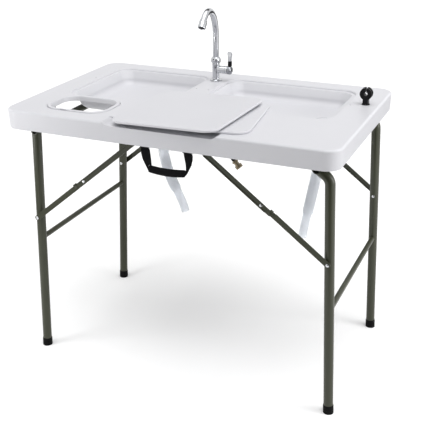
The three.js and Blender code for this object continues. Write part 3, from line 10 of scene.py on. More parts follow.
import bmesh
import bpy
from mathutils import Matrix, Vector
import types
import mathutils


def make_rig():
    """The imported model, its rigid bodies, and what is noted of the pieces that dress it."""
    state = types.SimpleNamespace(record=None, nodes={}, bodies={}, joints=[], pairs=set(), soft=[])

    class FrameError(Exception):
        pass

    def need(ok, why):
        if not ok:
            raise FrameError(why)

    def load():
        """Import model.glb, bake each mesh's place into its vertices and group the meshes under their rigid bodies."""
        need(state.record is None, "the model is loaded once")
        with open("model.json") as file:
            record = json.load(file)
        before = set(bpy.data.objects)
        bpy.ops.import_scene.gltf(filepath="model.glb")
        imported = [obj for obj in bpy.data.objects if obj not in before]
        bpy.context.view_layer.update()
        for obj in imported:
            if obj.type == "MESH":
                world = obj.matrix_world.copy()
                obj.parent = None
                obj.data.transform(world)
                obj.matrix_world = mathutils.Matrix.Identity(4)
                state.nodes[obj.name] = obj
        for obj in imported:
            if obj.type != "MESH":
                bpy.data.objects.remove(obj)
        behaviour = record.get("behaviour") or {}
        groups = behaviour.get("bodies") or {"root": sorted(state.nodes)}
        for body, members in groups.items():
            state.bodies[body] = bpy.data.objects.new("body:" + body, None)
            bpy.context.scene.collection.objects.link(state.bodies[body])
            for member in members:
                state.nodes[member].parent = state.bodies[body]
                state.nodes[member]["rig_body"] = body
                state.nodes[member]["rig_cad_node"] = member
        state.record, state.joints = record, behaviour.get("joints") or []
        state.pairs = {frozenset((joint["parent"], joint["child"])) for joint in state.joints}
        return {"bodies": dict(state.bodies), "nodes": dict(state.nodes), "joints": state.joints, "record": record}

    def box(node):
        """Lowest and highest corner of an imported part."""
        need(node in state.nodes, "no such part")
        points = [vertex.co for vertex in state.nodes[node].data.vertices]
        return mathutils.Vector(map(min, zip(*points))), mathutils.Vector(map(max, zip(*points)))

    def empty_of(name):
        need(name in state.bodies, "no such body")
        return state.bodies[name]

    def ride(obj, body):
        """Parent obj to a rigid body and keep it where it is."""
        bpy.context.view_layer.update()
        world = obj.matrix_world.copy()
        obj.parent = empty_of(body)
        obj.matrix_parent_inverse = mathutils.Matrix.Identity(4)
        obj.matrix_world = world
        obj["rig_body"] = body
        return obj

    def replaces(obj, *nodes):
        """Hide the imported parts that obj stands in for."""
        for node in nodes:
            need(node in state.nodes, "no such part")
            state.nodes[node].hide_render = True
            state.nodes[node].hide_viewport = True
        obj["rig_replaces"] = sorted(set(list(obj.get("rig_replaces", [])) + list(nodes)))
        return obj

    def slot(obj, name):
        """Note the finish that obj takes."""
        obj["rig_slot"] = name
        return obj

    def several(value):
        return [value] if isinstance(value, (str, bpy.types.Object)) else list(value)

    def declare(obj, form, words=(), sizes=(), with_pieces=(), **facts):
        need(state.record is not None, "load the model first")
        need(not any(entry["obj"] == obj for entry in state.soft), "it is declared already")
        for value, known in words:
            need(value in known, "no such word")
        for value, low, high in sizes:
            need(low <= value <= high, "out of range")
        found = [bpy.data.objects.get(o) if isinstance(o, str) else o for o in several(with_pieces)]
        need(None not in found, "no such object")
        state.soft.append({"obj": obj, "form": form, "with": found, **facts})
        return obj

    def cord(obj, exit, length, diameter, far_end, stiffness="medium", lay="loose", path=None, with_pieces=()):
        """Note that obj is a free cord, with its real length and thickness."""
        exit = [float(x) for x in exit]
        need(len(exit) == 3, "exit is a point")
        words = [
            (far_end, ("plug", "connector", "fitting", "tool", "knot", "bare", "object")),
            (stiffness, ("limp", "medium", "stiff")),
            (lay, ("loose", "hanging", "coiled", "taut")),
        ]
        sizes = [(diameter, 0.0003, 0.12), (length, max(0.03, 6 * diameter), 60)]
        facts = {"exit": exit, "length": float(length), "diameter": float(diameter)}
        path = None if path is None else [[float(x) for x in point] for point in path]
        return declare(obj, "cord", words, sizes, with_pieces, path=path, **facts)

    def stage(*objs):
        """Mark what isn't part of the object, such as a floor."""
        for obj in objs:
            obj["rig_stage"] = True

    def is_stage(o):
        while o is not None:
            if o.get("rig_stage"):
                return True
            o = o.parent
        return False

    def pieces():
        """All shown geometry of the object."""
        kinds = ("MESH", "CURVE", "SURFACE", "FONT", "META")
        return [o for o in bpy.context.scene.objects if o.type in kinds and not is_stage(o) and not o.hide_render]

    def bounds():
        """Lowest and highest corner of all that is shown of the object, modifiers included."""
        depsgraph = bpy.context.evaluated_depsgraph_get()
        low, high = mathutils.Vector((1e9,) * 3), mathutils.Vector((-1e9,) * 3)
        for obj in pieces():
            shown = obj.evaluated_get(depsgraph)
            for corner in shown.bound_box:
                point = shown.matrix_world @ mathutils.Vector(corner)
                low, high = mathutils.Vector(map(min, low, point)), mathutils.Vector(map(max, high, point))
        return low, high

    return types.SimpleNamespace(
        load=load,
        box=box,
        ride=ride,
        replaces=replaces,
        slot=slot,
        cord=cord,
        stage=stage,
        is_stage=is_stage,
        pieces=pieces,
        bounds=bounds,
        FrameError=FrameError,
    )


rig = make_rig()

LOG = logging.getLogger("fish_table")
MM = 0.001
SIZE_FILE = "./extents.json"
TOP_BODY = "top_assembly"

Point = tuple[float, float, float]
Flat = tuple[float, float]
Shape = bmesh.types.BMesh
Node = bpy.types.Node
Socket = bpy.types.NodeSocket

UP = Vector((0, 0, 1))
ALONG_X = Vector((1, 0, 0))
ALONG_Y = Vector((0, 1, 0))

# Sizes that several pieces share, in millimetres

TOP_HEIGHT = 815.0
TOP_LENGTH = 1000.0
TOP_WIDTH = 646.0
RIM_HEIGHT = 57.0
SKIRT_BOTTOM = TOP_HEIGHT - RIM_HEIGHT
DECK_WALL = 5.0
IN_DECK = TOP_HEIGHT - DECK_WALL / 2
BASIN_FLOOR = TOP_HEIGHT - 49.0
GAP = 0.3
PAST = 20.0
PIVOT_X = 429.0
PIVOT_Z = 742.0
PIVOT_BORE = 11.35
BOSS_Y = 200.0
BOSS_HALF = 24.0
FAUCET_SPOT = (-56.5, 216.0)
SCREW_HEAD = ((0, -1), (4, -1), (4, 0.8), (3.2, 1.8), (0, 2))
RIVET_HEAD = ((3, 25.8), (5, 25.8), (4.8, 26.7), (3.6, 27.3), (0, 27.4))


class Signed(Enum):
    """A choice whose value is the sign of its axis."""

    @property
    def word(self) -> str:
        """The name as the nodes have it."""
        return self.name.lower()


class Side(Signed):
    """The two ends of the table, with the sign of X on each."""

    LEFT = -1
    RIGHT = 1


class Row(Signed):
    """The front and rear rows of legs and braces, with the sign of Y on each."""

    FRONT = -1
    REAR = 1


class Cut(Enum):
    """How one solid is combined with another."""

    ADD = "UNION"
    REMOVE = "DIFFERENCE"


class Relief(Enum):
    """The fine surface of a finish."""

    PLAIN = "plain"
    GRAIN = "grain"
    WEAVE = "weave"


# Finishes, and the surface effects that several of them use


@dataclass
class Wiring:
    """Adds nodes to a tree and feeds them values and other nodes' outputs."""

    tree: bpy.types.NodeTree

    def feed(self, node: Node, inputs: dict[str | int, object]) -> Node:
        """Sets or joins inputs of a node.

        Args:
            node: The node.
            inputs: What goes into each input: a plain value, or a socket to join it to.

        Returns:
            The node.
        """
        for key, value in inputs.items():
            if isinstance(value, Socket):
                self.tree.links.new(value, node.inputs[key])
            else:
                node.inputs[key].default_value = value
        return node

    def add(self, kind: str, inputs: dict[str | int, object]) -> Node:
        """Adds a shader node of a kind and feeds it."""
        return self.feed(self.tree.nodes.new(f"ShaderNode{kind}"), inputs)

    def maths(self, operation: str, one: object, two: object) -> Socket:
        """Adds a node that works out one number from two, and gives its result.

        Args:
            operation: What is worked out.
            one: The first value or socket.
            two: The second value or socket.

        Returns:
            The result's socket.
        """
        node = self.add("Math", {0: one, 1: two})
        node.operation = operation
        return node.outputs["Value"]

    def blend(self, factor: object, one: object, two: object) -> Socket:
        """Adds a node that mixes two colours by a factor, and gives its result.

        Args:
            factor: The share of the second colour.
            one: The first colour.
            two: The second colour.

        Returns:
            The mixed colour's socket.
        """
        node = self.add("Mix", {})
        node.data_type = "RGBA"
        return self.feed(node, {"Factor": factor, "A": one, "B": two}).outputs["Result"]


def new_group(name: str, inputs: dict[str, float], outputs: Sequence[str]) -> bpy.types.NodeTree:
    """Starts a shader node group that takes a place and some numbers.

    Args:
        name: The group's name.
        inputs: Default of each number that the group takes.
        outputs: Name of each number that it gives.

    Returns:
        The group, with its input and output nodes.
    """
    group = bpy.data.node_groups.new(name, "ShaderNodeTree")
    group.interface.new_socket("Vector", in_out="INPUT", socket_type="NodeSocketVector")
    for word, default in inputs.items():
        socket = group.interface.new_socket(word, in_out="INPUT", socket_type="NodeSocketFloat")
        socket.default_value = default
    for word in outputs:
        group.interface.new_socket(word, in_out="OUTPUT", socket_type="NodeSocketFloat")
    group.nodes.new("NodeGroupInput").name = "In"
    group.nodes.new("NodeGroupOutput").name = "Out"
    return group


def grain_group() -> bpy.types.NodeTree:
    """Builds the moulded grain: broad tone, fine height and scattered scuffs.

    Returns:
        The node group.
    """
    found = bpy.data.node_groups.get("Moulded grain")
    if found:
        return found
    scales = {"Broad Scale": 9.0, "Fine Scale": 900.0}
    group = new_group("Moulded grain", scales, ("Tone", "Height", "Scuff"))
    wiring, source = Wiring(group), group.nodes["In"].outputs
    broad, fine, scuff = (
        wiring.add("TexNoise", {"Vector": source["Vector"], "Scale": scale, "Detail": detail})
        for scale, detail in ((source["Broad Scale"], 3.0), (source["Fine Scale"], 2.0), (42.0, 8.0))
    )
    scuff.inputs["Roughness"].default_value = 0.75
    limit = wiring.add("MapRange", {"Value": scuff.outputs["Fac"], "From Min": 0.58, "From Max": 0.74})
    given = {"Tone": broad.outputs["Fac"], "Height": fine.outputs["Fac"], "Scuff": limit.outputs["Result"]}
    wiring.feed(group.nodes["Out"], given)
    return group


def weave_group() -> bpy.types.NodeTree:
    """Builds a woven pattern from two crossed waves.

    Returns:
        The node group.
    """
    found = bpy.data.node_groups.get("Weave")
    if found:
        return found
    group = new_group("Weave", {"Threads": 700.0}, ("Height",))
    wiring, source = Wiring(group), group.nodes["In"].outputs
    waves = []
    for direction in ("X", "Z"):
        values = {"Vector": source["Vector"], "Scale": source["Threads"], "Distortion": 0.6}
        wave = wiring.add("TexWave", values)
        wave.bands_direction = direction
        waves.append(wave.outputs["Fac"])
    wiring.feed(group.nodes["Out"], {"Height": wiring.maths("MULTIPLY", *waves)})
    return group


def new_material(name: str, inputs: dict[str, object]) -> tuple[bpy.types.Material, Wiring, Node]:
    """Starts a material from the plain values of its surface.

    Args:
        name: Its name.
        inputs: What goes into its shader.

    Returns:
        The material, its wiring and its shader.
    """
    material = bpy.data.materials.new(name)
    material.use_nodes = True
    wiring = Wiring(material.node_tree)
    return material, wiring, wiring.feed(material.node_tree.nodes["Principled BSDF"], inputs)


@dataclass(frozen=True)
class Finish:
    """One finish, with the record's slot that it stands for."""

    name: str
    slot: str
    colour: Point
    roughness: float
    metallic: float = 0.0
    specular: float = 0.5
    ior: float = 1.5
    transmission: float = 0.0
    relief: Relief = Relief.PLAIN
    fine_scale: float = 900.0
    bump: float = 0.0
    bump_height: float = 0.0004
    tone_spread: float = 0.04
    rough_spread: float = 0.06

    def build(self) -> bpy.types.Material:
        """Makes the material, or gives the one made before.

        Returns:
            The material.
        """
        found = bpy.data.materials.get(self.name)
        if found:
            return found
        values = {
            "Base Color": (*self.colour, 1.0), "Roughness": self.roughness, "Metallic": self.metallic,
            "Specular IOR Level": self.specular, "IOR": self.ior, "Transmission Weight": self.transmission,
        }
        material, wiring, shader = new_material(self.name, values)
        if self.relief is Relief.PLAIN:
            return material
        place = wiring.add("TexCoord", {})
        effect = wiring.add("Group", {})
        effect.node_tree = grain_group() if self.relief is Relief.GRAIN else weave_group()
        wiring.feed(effect, {"Vector": place.outputs["Object"]})
        relief = {"Strength": self.bump, "Distance": self.bump_height, "Height": effect.outputs["Height"]}
        wiring.feed(shader, {"Normal": wiring.add("Bump", relief).outputs["Normal"]})
        if self.relief is Relief.GRAIN:
            wiring.feed(effect, {"Fine Scale": self.fine_scale})
            self.vary(wiring, effect, shader)
        return material

    def vary(self, wiring: Wiring, effect: Node, shader: Node) -> None:
        """Lets tone and roughness drift a little over the surface.

        Args:
            wiring: The material's wiring.
            effect: The grain node.
            shader: The surface shader.
        """
        dark = (*(part * (1 - self.tone_spread) for part in self.colour), 1.0)
        light = (*(min(part * (1 + self.tone_spread), 1) for part in self.colour), 1.0)
        rough = {
            "Value": effect.outputs["Scuff"], "To Min": max(self.roughness - self.rough_spread, 0.02),
            "To Max": min(self.roughness + self.rough_spread, 1.0),
        }
        drift = {
            "Base Color": wiring.blend(effect.outputs["Tone"], dark, light),
            "Roughness": wiring.add("MapRange", rough).outputs["Result"],
        }
        wiring.feed(shader, drift)


WHITE_SHELL = Finish(
    "Blow-moulded white shell", "white_plastic", (0.66, 0.66, 0.69), 0.46, specular=0.35,
    relief=Relief.GRAIN, fine_scale=650.0, bump=0.12, tone_spread=0.02,
)
WHITE_BOARD = Finish(
    "White board", "white_plastic", (0.65, 0.65, 0.68), 0.5, specular=0.35,
    relief=Relief.GRAIN, fine_scale=1100.0, bump=0.18, tone_spread=0.015,
)
MILKY_VINYL = Finish(
    "Milky vinyl", "milky_hose", (0.95, 0.97, 1.0), 0.3, transmission=0.6, ior=1.2,
)
OLIVE_COAT = Finish(
    "Olive powder coat", "olive_paint", (0.042, 0.045, 0.026), 0.36, specular=0.38,
    relief=Relief.GRAIN, fine_scale=1500.0, bump=0.2, tone_spread=0.12,
)
BRIGHT_ZINC = Finish(
    "Bright zinc", "zinc", (0.62, 0.63, 0.65), 0.3, metallic=1.0,
    relief=Relief.GRAIN, fine_scale=500.0, bump=0.05, tone_spread=0.1,
)
POLISHED_CHROME = Finish("Polished chrome", "chrome", (0.56, 0.57, 0.59), 0.08, metallic=1.0)
# Painted shade: a darker copy of the polished chrome, so that the valve hub shows darker reflections than the rest of
# the faucet.
CHROME_PAINTED_SHADE = Finish("Shaded chrome", "chrome", (0.3, 0.31, 0.33), 0.12, metallic=1.0)
MACHINED_BRASS = Finish(
    "Machined brass", "brass", (0.3, 0.25, 0.17), 0.42, metallic=1.0,
    relief=Relief.GRAIN, fine_scale=800.0, bump=0.05, tone_spread=0.12,
)
BLACK_MOULDING = Finish(
    "Black moulding", "black_plastic", (0.005, 0.005, 0.006), 0.4, specular=0.15,
    relief=Relief.GRAIN, bump=0.1,
)
BLACK_RUBBER = Finish(
    "Black rubber", "black_rubber", (0.005, 0.005, 0.005), 0.65, specular=0.08,
    relief=Relief.GRAIN, fine_scale=700.0, bump=0.2,
)
BLACK_WEBBING = Finish(
    "Black webbing", "black_webbing", (0.007, 0.007, 0.008), 0.85, specular=0.08,
    relief=Relief.WEAVE, bump=0.7,
)


# Shapes made with bmesh operators, in millimetres of the table's own frame


def turn_matrix(start: Vector, axis: Vector) -> Matrix:
    """Gives the matrix that stands +Z along an axis, from a start point."""
    return Matrix.Translation(start) @ axis.to_track_quat("Z", "Y").to_matrix().to_4x4()


def moved(mesh: Shape, matrix: Matrix) -> Shape:
    """Moves a whole shape."""
    bmesh.ops.transform(mesh, matrix=matrix, verts=list(mesh.verts))
    return mesh


def face_out(mesh: Shape) -> None:
    """Points a closed shape's faces outwards."""
    bmesh.ops.recalc_face_normals(mesh, faces=list(mesh.faces))


def grown(made: dict, kind: type) -> list:
    """Picks the vertices or the edges from what an operator made."""
    return [item for item in made["geom"] if isinstance(item, kind)]


def rounding(radius: float, steps: int) -> list[Flat]:
    """Lists what is left of a quarter round, across and along, at each step of it."""
    turns = [i * math.pi / 2 / steps for i in range(steps + 1)]
    return [(radius * (1 - math.sin(turn)), radius * (1 - math.cos(turn))) for turn in turns]


@dataclass(frozen=True)
class Level:
    """One outline of a stacked shape: a rectangle with round corners, at a height."""

    length: float
    width: float
    radius: float
    z: float

    def corner(self, spot: Vector) -> Vector:
        """Gives the middle of the round corner that a point of the outline belongs to."""
        x = math.copysign(self.length / 2 - self.radius, spot.x)
        return Vector((x, math.copysign(self.width / 2 - self.radius, spot.y), self.z))


def stack(levels: Sequence[Level], place: Matrix = Matrix(), segments: int = 14) -> Shape:
    """Makes a closed shape through rounded outlines from the lowest to the highest.

    Args:
        levels: The outlines.
        place: Where the outlines' common middle goes.
        segments: Steps round each corner.

    Returns:
        The shape.
    """
    mesh = bmesh.new()
    half_step = math.pi / (4 * segments)
    first = levels[0]
    bmesh.ops.create_circle(
        mesh, cap_ends=True, segments=4 * segments, radius=first.radius / math.cos(half_step),
        matrix=Matrix.Rotation(half_step, 4, "Z"),
    )
    for vert in mesh.verts:
        vert.co += first.corner(vert.co)
    edges = list(mesh.edges)
    for below, above in zip(levels, levels[1:]):
        made = bmesh.ops.extrude_edge_only(mesh, edges=edges)
        edges = grown(made, bmesh.types.BMEdge)
        for vert in grown(made, bmesh.types.BMVert):
            out = (vert.co - below.corner(vert.co)) * (above.radius / below.radius)
            vert.co = above.corner(vert.co) + out
    bmesh.ops.contextual_create(mesh, geom=edges)
    face_out(mesh)
    return moved(mesh, place)


@dataclass(frozen=True)
class Rounded:
    """A rectangle with round corners that can be drawn in or grown."""

    length: float
    width: float
    corner: float
    follow: float = 1.0

    def stack(self, insets: Sequence[Flat], place: Matrix = Matrix(), segments: int = 14) -> Shape:
        """Makes a closed shape through this outline, drawn in at one height after another.

        Args:
            insets: Inset and height of each level.
            place: Where the outline's middle goes.
            segments: Steps round each corner.

        Returns:
            The shape.
        """
        levels = [
            Level(self.length - 2 * inset, self.width - 2 * inset, self.corner - inset * self.follow, z)
            for inset, z in insets
        ]
        return stack(levels, place, segments)


def turned(profile: Sequence[Flat], start: Vector, axis: Vector = UP, steps: int = 48) -> Shape:
    """Spins a profile into a body of revolution.

    Args:
        profile: Radius and distance along the axis of each point, closed by the axis or on itself.
        start: The axis's start.
        axis: Its direction.
        steps: Steps round the body.

    Returns:
        The shape.
    """
    mesh = bmesh.new()
    verts = [mesh.verts.new((radius, 0, along)) for radius, along in profile]
    for one, two in zip(verts, verts[1:]):
        mesh.edges.new((one, two))
    bmesh.ops.spin(
        mesh, geom=list(mesh.verts) + list(mesh.edges), cent=(0, 0, 0), axis=(0, 0, 1),
        angle=2 * math.pi, steps=steps, use_merge=True,
    )
    bmesh.ops.remove_doubles(mesh, verts=list(mesh.verts), dist=1e-4)
    face_out(mesh)
    return moved(mesh, turn_matrix(start, axis))


def section(path: Sequence[Vector], index: int, across: Vector) -> Matrix:
    """Gives the place of a tube's section at one point of its path.

    Args:
        path: The points of the centre line.
        index: The point's number.
        across: A direction that the section keeps as its second axis.

    Returns:
        The place, with the path along its third axis.
    """
    along = (path[min(index + 1, len(path) - 1)] - path[max(index - 1, 0)]).normalized()
    side = across.cross(along).normalized()
    axes = Matrix((side, along.cross(side), along)).transposed()
    return Matrix.Translation(path[index]) @ axes.to_4x4()


def swept(
    path: Sequence[Vector], radius: float, sides: int = 32, wall: float = 0.0, across: Vector = ALONG_Y,
) -> Shape:
    """Extrudes a circle along a path.

    Args:
        path: The points of the centre line.
        radius: The tube's outer radius.
        sides: Sides of the circle.
        wall: Wall thickness, or 0 for a solid rod.
        across: A direction that the section keeps as its second axis.

    Returns:
        The shape.
    """
    mesh = bmesh.new()
    places = [section(path, index, across) for index in range(len(path))]
    bmesh.ops.create_circle(mesh, segments=sides, radius=radius, matrix=places[0])
    edges = list(mesh.edges)
    for before, place in zip(places, places[1:]):
        made = bmesh.ops.extrude_edge_only(mesh, edges=edges)
        ring = grown(made, bmesh.types.BMVert)
        edges = [e for e in grown(made, bmesh.types.BMEdge) if all(v in ring for v in e.verts)]
        bmesh.ops.transform(mesh, matrix=place @ before.inverted(), verts=ring)
    face_out(mesh)
    if sum(face.normal.dot(face.calc_center_median() - path[0]) for face in list(mesh.faces)[:sides]) < 0:
        bmesh.ops.reverse_faces(mesh, faces=list(mesh.faces))
    if wall > 0:
        bmesh.ops.solidify(mesh, geom=list(mesh.faces), thickness=wall)
    else:
        bmesh.ops.holes_fill(mesh, edges=list(mesh.edges), sides=0)
    face_out(mesh)
    return mesh


def bevel(mesh: Shape, edges: Sequence[bmesh.types.BMEdge], radius: float, segments: int) -> None:
    """Rounds edges, where the radius isn't 0.

    Args:
        mesh: The shape.
        edges: Its edges to round.
        radius: The radius.
        segments: Steps across each round.
    """
    if radius > 0:
        bmesh.ops.bevel(
            mesh, geom=edges, offset=radius, segments=segments, profile=0.5, affect="EDGES", material=-1,
        )


def plate(outline: Sequence[Flat], low: float, high: float, edge: float = 0.0) -> Shape:
    """Extrudes an outline drawn in X and Z along Y.

    Args:
        outline: The X and Z of each corner.
        low: The lower Y.
        high: The higher Y.
        edge: Radius of the edges on both faces.

    Returns:
        The shape.
    """
    mesh = bmesh.new()
    face = mesh.faces.new([mesh.verts.new((x, low, z)) for x, z in outline])
    made = bmesh.ops.extrude_face_region(mesh, geom=[face])
    bmesh.ops.translate(mesh, vec=(0, high - low, 0), verts=grown(made, bmesh.types.BMVert))
    bevel(mesh, [e for e in mesh.edges if abs(e.verts[0].co.y - e.verts[1].co.y) < 1e-6], edge, 3)
    face_out(mesh)
    return mesh


def brick(low: Point, high: Point, edge: float = 0.0) -> Shape:
    """Makes a block between two corners.

    Args:
        low: The lower corner.
        high: The higher corner.
        edge: Radius of its edges.

    Returns:
        The shape.
    """
    mesh = bmesh.new()
    size = Vector(high) - Vector(low)
    bmesh.ops.create_cube(mesh, size=1)
    bmesh.ops.scale(mesh, vec=size, verts=list(mesh.verts))
    bmesh.ops.translate(mesh, vec=Vector(low) + size / 2, verts=list(mesh.verts))
    bevel(mesh, list(mesh.edges), edge, 2)
    return mesh


def rod(start: Sequence[float], end: Sequence[float], radius: float, steps: int = 32) -> Shape:
    """Makes a round rod between two points.

    Args:
        start: One end's middle.
        end: The other's.
        radius: The radius.
        steps: Steps round the rod.

    Returns:
        The shape.
    """
    along = Vector(end) - Vector(start)
    profile = [(0, 0), (radius, 0), (radius, along.length), (0, along.length)]
    return turned(profile, Vector(start), along, steps)


def arc(centre: Flat, radius: float, start: float, end: float, steps: int) -> list[Flat]:
    """Lists points along an arc, its ends given in radians."""
    turns = [start + (end - start) * i / steps for i in range(steps + 1)]
    return [(centre[0] + radius * math.cos(turn), centre[1] + radius * math.sin(turn)) for turn in turns]


def smooth_line(points: Sequence[Point], per_span: int = 4) -> list[Vector]:
    """Runs one smooth curve through points.

    Args:
        points: The points to pass through.
        per_span: Steps between each two.

    Returns:
        The points of the curve.
    """
    known = [Vector(p) for p in points]
    ends = [known[0] * 2 - known[1], *known, known[-1] * 2 - known[-2]]
    line = []
    for a, b, c, d in zip(ends, ends[1:], ends[2:], ends[3:]):
        square, cube = 2 * a - 5 * b + 4 * c - d, 3 * b - a - 3 * c + d
        steps = [i / per_span for i in range(per_span)]
        line += [0.5 * (2 * b + (c - a) * t + square * t**2 + cube * t**3) for t in steps]
    return [*line, known[-1]]


def mesh_object(mesh: Shape, name: str) -> bpy.types.Object:
    """Turns a shape into an object and frees the shape.

    Args:
        mesh: The shape.
        name: The object's name.

    Returns:
        The object.
    """
    data = bpy.data.meshes.new(name)
    mesh.to_mesh(data)
    mesh.free()
    return scene_object(name, data)


def scene_object(name: str, data: bpy.types.ID) -> bpy.types.Object:
    """Puts a mesh, a lamp or a camera into the scene.

    Args:
        name: The object's name.
        data: The mesh, lamp or camera.

    Returns:
        The object.
    """
    made = bpy.data.objects.new(name, data)
    bpy.context.scene.collection.objects.link(made)
    return made


def merged(*shapes: Shape) -> Shape:
    """Puts shapes that don't touch into one mesh.

    Args:
        shapes: The shapes.

    Returns:
        The mesh.
    """
    whole = bmesh.new()
    for shape in shapes:
        data = bpy.data.meshes.new("part")
        shape.to_mesh(data)
        shape.free()
        whole.from_mesh(data)
        bpy.data.meshes.remove(data)
    return whole


def combined(base: Shape, *steps: tuple[Cut, Shape]) -> Shape:
    """Joins solids to a base and cuts others from it, in order.

    Args:
        base: The first solid.
        steps: What is done and with which solid.

    Returns:
        The result.
    """
    body = mesh_object(base, "base")
    helpers = [mesh_object(shape, "tool") for _, shape in steps]
    for (how, _), helper in zip(steps, helpers):
        modifier = body.modifiers.new("step", "BOOLEAN")
        modifier.operation = how.value
        modifier.solver = "EXACT"
        modifier.object = helper
    graph = bpy.context.evaluated_depsgraph_get()
    result = bmesh.new()
    data = bpy.data.meshes.new_from_object(body.evaluated_get(graph))
    result.from_mesh(data)
    bpy.data.meshes.remove(data)
    for old in (body, *helpers):
        used = old.data
        bpy.data.objects.remove(old)
        bpy.data.meshes.remove(used)
    bmesh.ops.remove_doubles(result, verts=list(result.verts), dist=1e-3)
    bmesh.ops.dissolve_degenerate(result, edges=list(result.edges), dist=1e-3)
    return result


@dataclass
class Shop:
    """Puts finished shapes into the row frame."""

    shift: Vector

    def place(
        self, mesh: Shape, name: str, finish: Finish, body: str, *nodes: str,
        sharp: float = 32.0, weighted: bool = True,
    ) -> bpy.types.Object:
        """Turns a shape into a finished piece on its body.

        Args:
            mesh: The shape, in millimetres.
            name: The piece's name.
            finish: Its finish.
            body: The body that it rides on.
            nodes: The solids that it stands for, or none for the one of its own name.
            sharp: Edges that turn more than this many degrees stay sharp.
            weighted: Whether large faces lead the shading.

        Returns:
            The piece.
        """
        joined = name.replace(" ", "_")
        nodes = nodes or (joined,)
        made = mesh_object(moved(mesh, Matrix.Translation(self.shift) @ Matrix.Scale(MM, 4)), joined)
        made.data.shade_smooth()
        made.data.set_sharp_from_angle(angle=math.radians(sharp))
        if weighted:
            made.modifiers.new("shading", "WEIGHTED_NORMAL").keep_sharp = True
        made.data.materials.append(finish.build())
        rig.slot(made, finish.slot)
        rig.ride(made, body)
        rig.replaces(made, *nodes)
        LOG.info("%s: %d faces", name, len(made.data.polygons))
        return made

    def point(self, place: Sequence[float]) -> Point:
        """Gives a point of the table's frame in the row frame, in metres."""
        return tuple(Vector(place) * MM + self.shift)

    def path(self, line: Sequence[Vector]) -> tuple[list[Point], float]:
        """Gives a line in the row frame, and its length."""
        path = [self.point(p) for p in line]
        return path, sum((Vector(b) - Vector(a)).length for a, b in zip(path, path[1:]))


@dataclass
class Assembly:
    """A sub-assembly, with the shop that its pieces go to."""

    shop: Shop


@dataclass
class Basin:
    """A moulded basin: its rim, ledge, drafted wall and rounded foot."""

    x: float
    y: float
    length: float
    width: float
    wall: float = 5.0
    corner: float = 46.0
    follow: float = 0.55
    draft: float = 14.0
    foot: float = 24.0
    lip: float = 5.0
    ledge: float = 5.5
    ledge_width: float = 9.0
    ease: float = 0.8
    nick: float = 0.6
    steps: int = 6

    def stacked(self, insets: Sequence[Flat]) -> Shape:
        """Stacks the basin's outline in its place."""
        rim = Rounded(self.length, self.width, self.corner, self.follow)
        return rim.stack(insets, Matrix.Translation((self.x, self.y, 0)))

    def wall_line(self, wall: float) -> list[Flat]:
        """Follows the foot up to the drafted wall, as inset and height, grown by a wall.

        Args:
            wall: How far the outline is grown.

        Returns:
            Inset and height of each level.
        """
        inset = self.ledge_width + self.draft - wall
        foot = rounding(self.foot + wall, self.steps)
        return [(inset + side, BASIN_FLOOR - wall + rise) for side, rise in foot]

    def hollow(self) -> Shape:
        """Makes the space inside, with its ledge and rounded lip.

        Returns:
            The shape.
        """
        ledge = TOP_HEIGHT - self.ledge
        insets = [
            *self.wall_line(0), (self.ledge_width + self.ease, ledge - self.ease / 2),
            (self.ledge_width, ledge), (self.nick, ledge), (0, ledge + self.ease),
            *((-rise, TOP_HEIGHT - side) for side, rise in rounding(self.lip, self.steps)),
            (-self.lip, TOP_HEIGHT + PAST),
        ]
        return self.stacked(insets)

    def tub(self) -> Shape:
        """Makes the outside that hangs below the deck.

        Returns:
            The shape.
        """
        under = TOP_HEIGHT - self.ledge - DECK_WALL
        insets = [
            *self.wall_line(self.wall), (self.ledge_width - self.wall, under), (-self.wall, under),
            (-self.wall, IN_DECK),
        ]
        return self.stacked(insets)


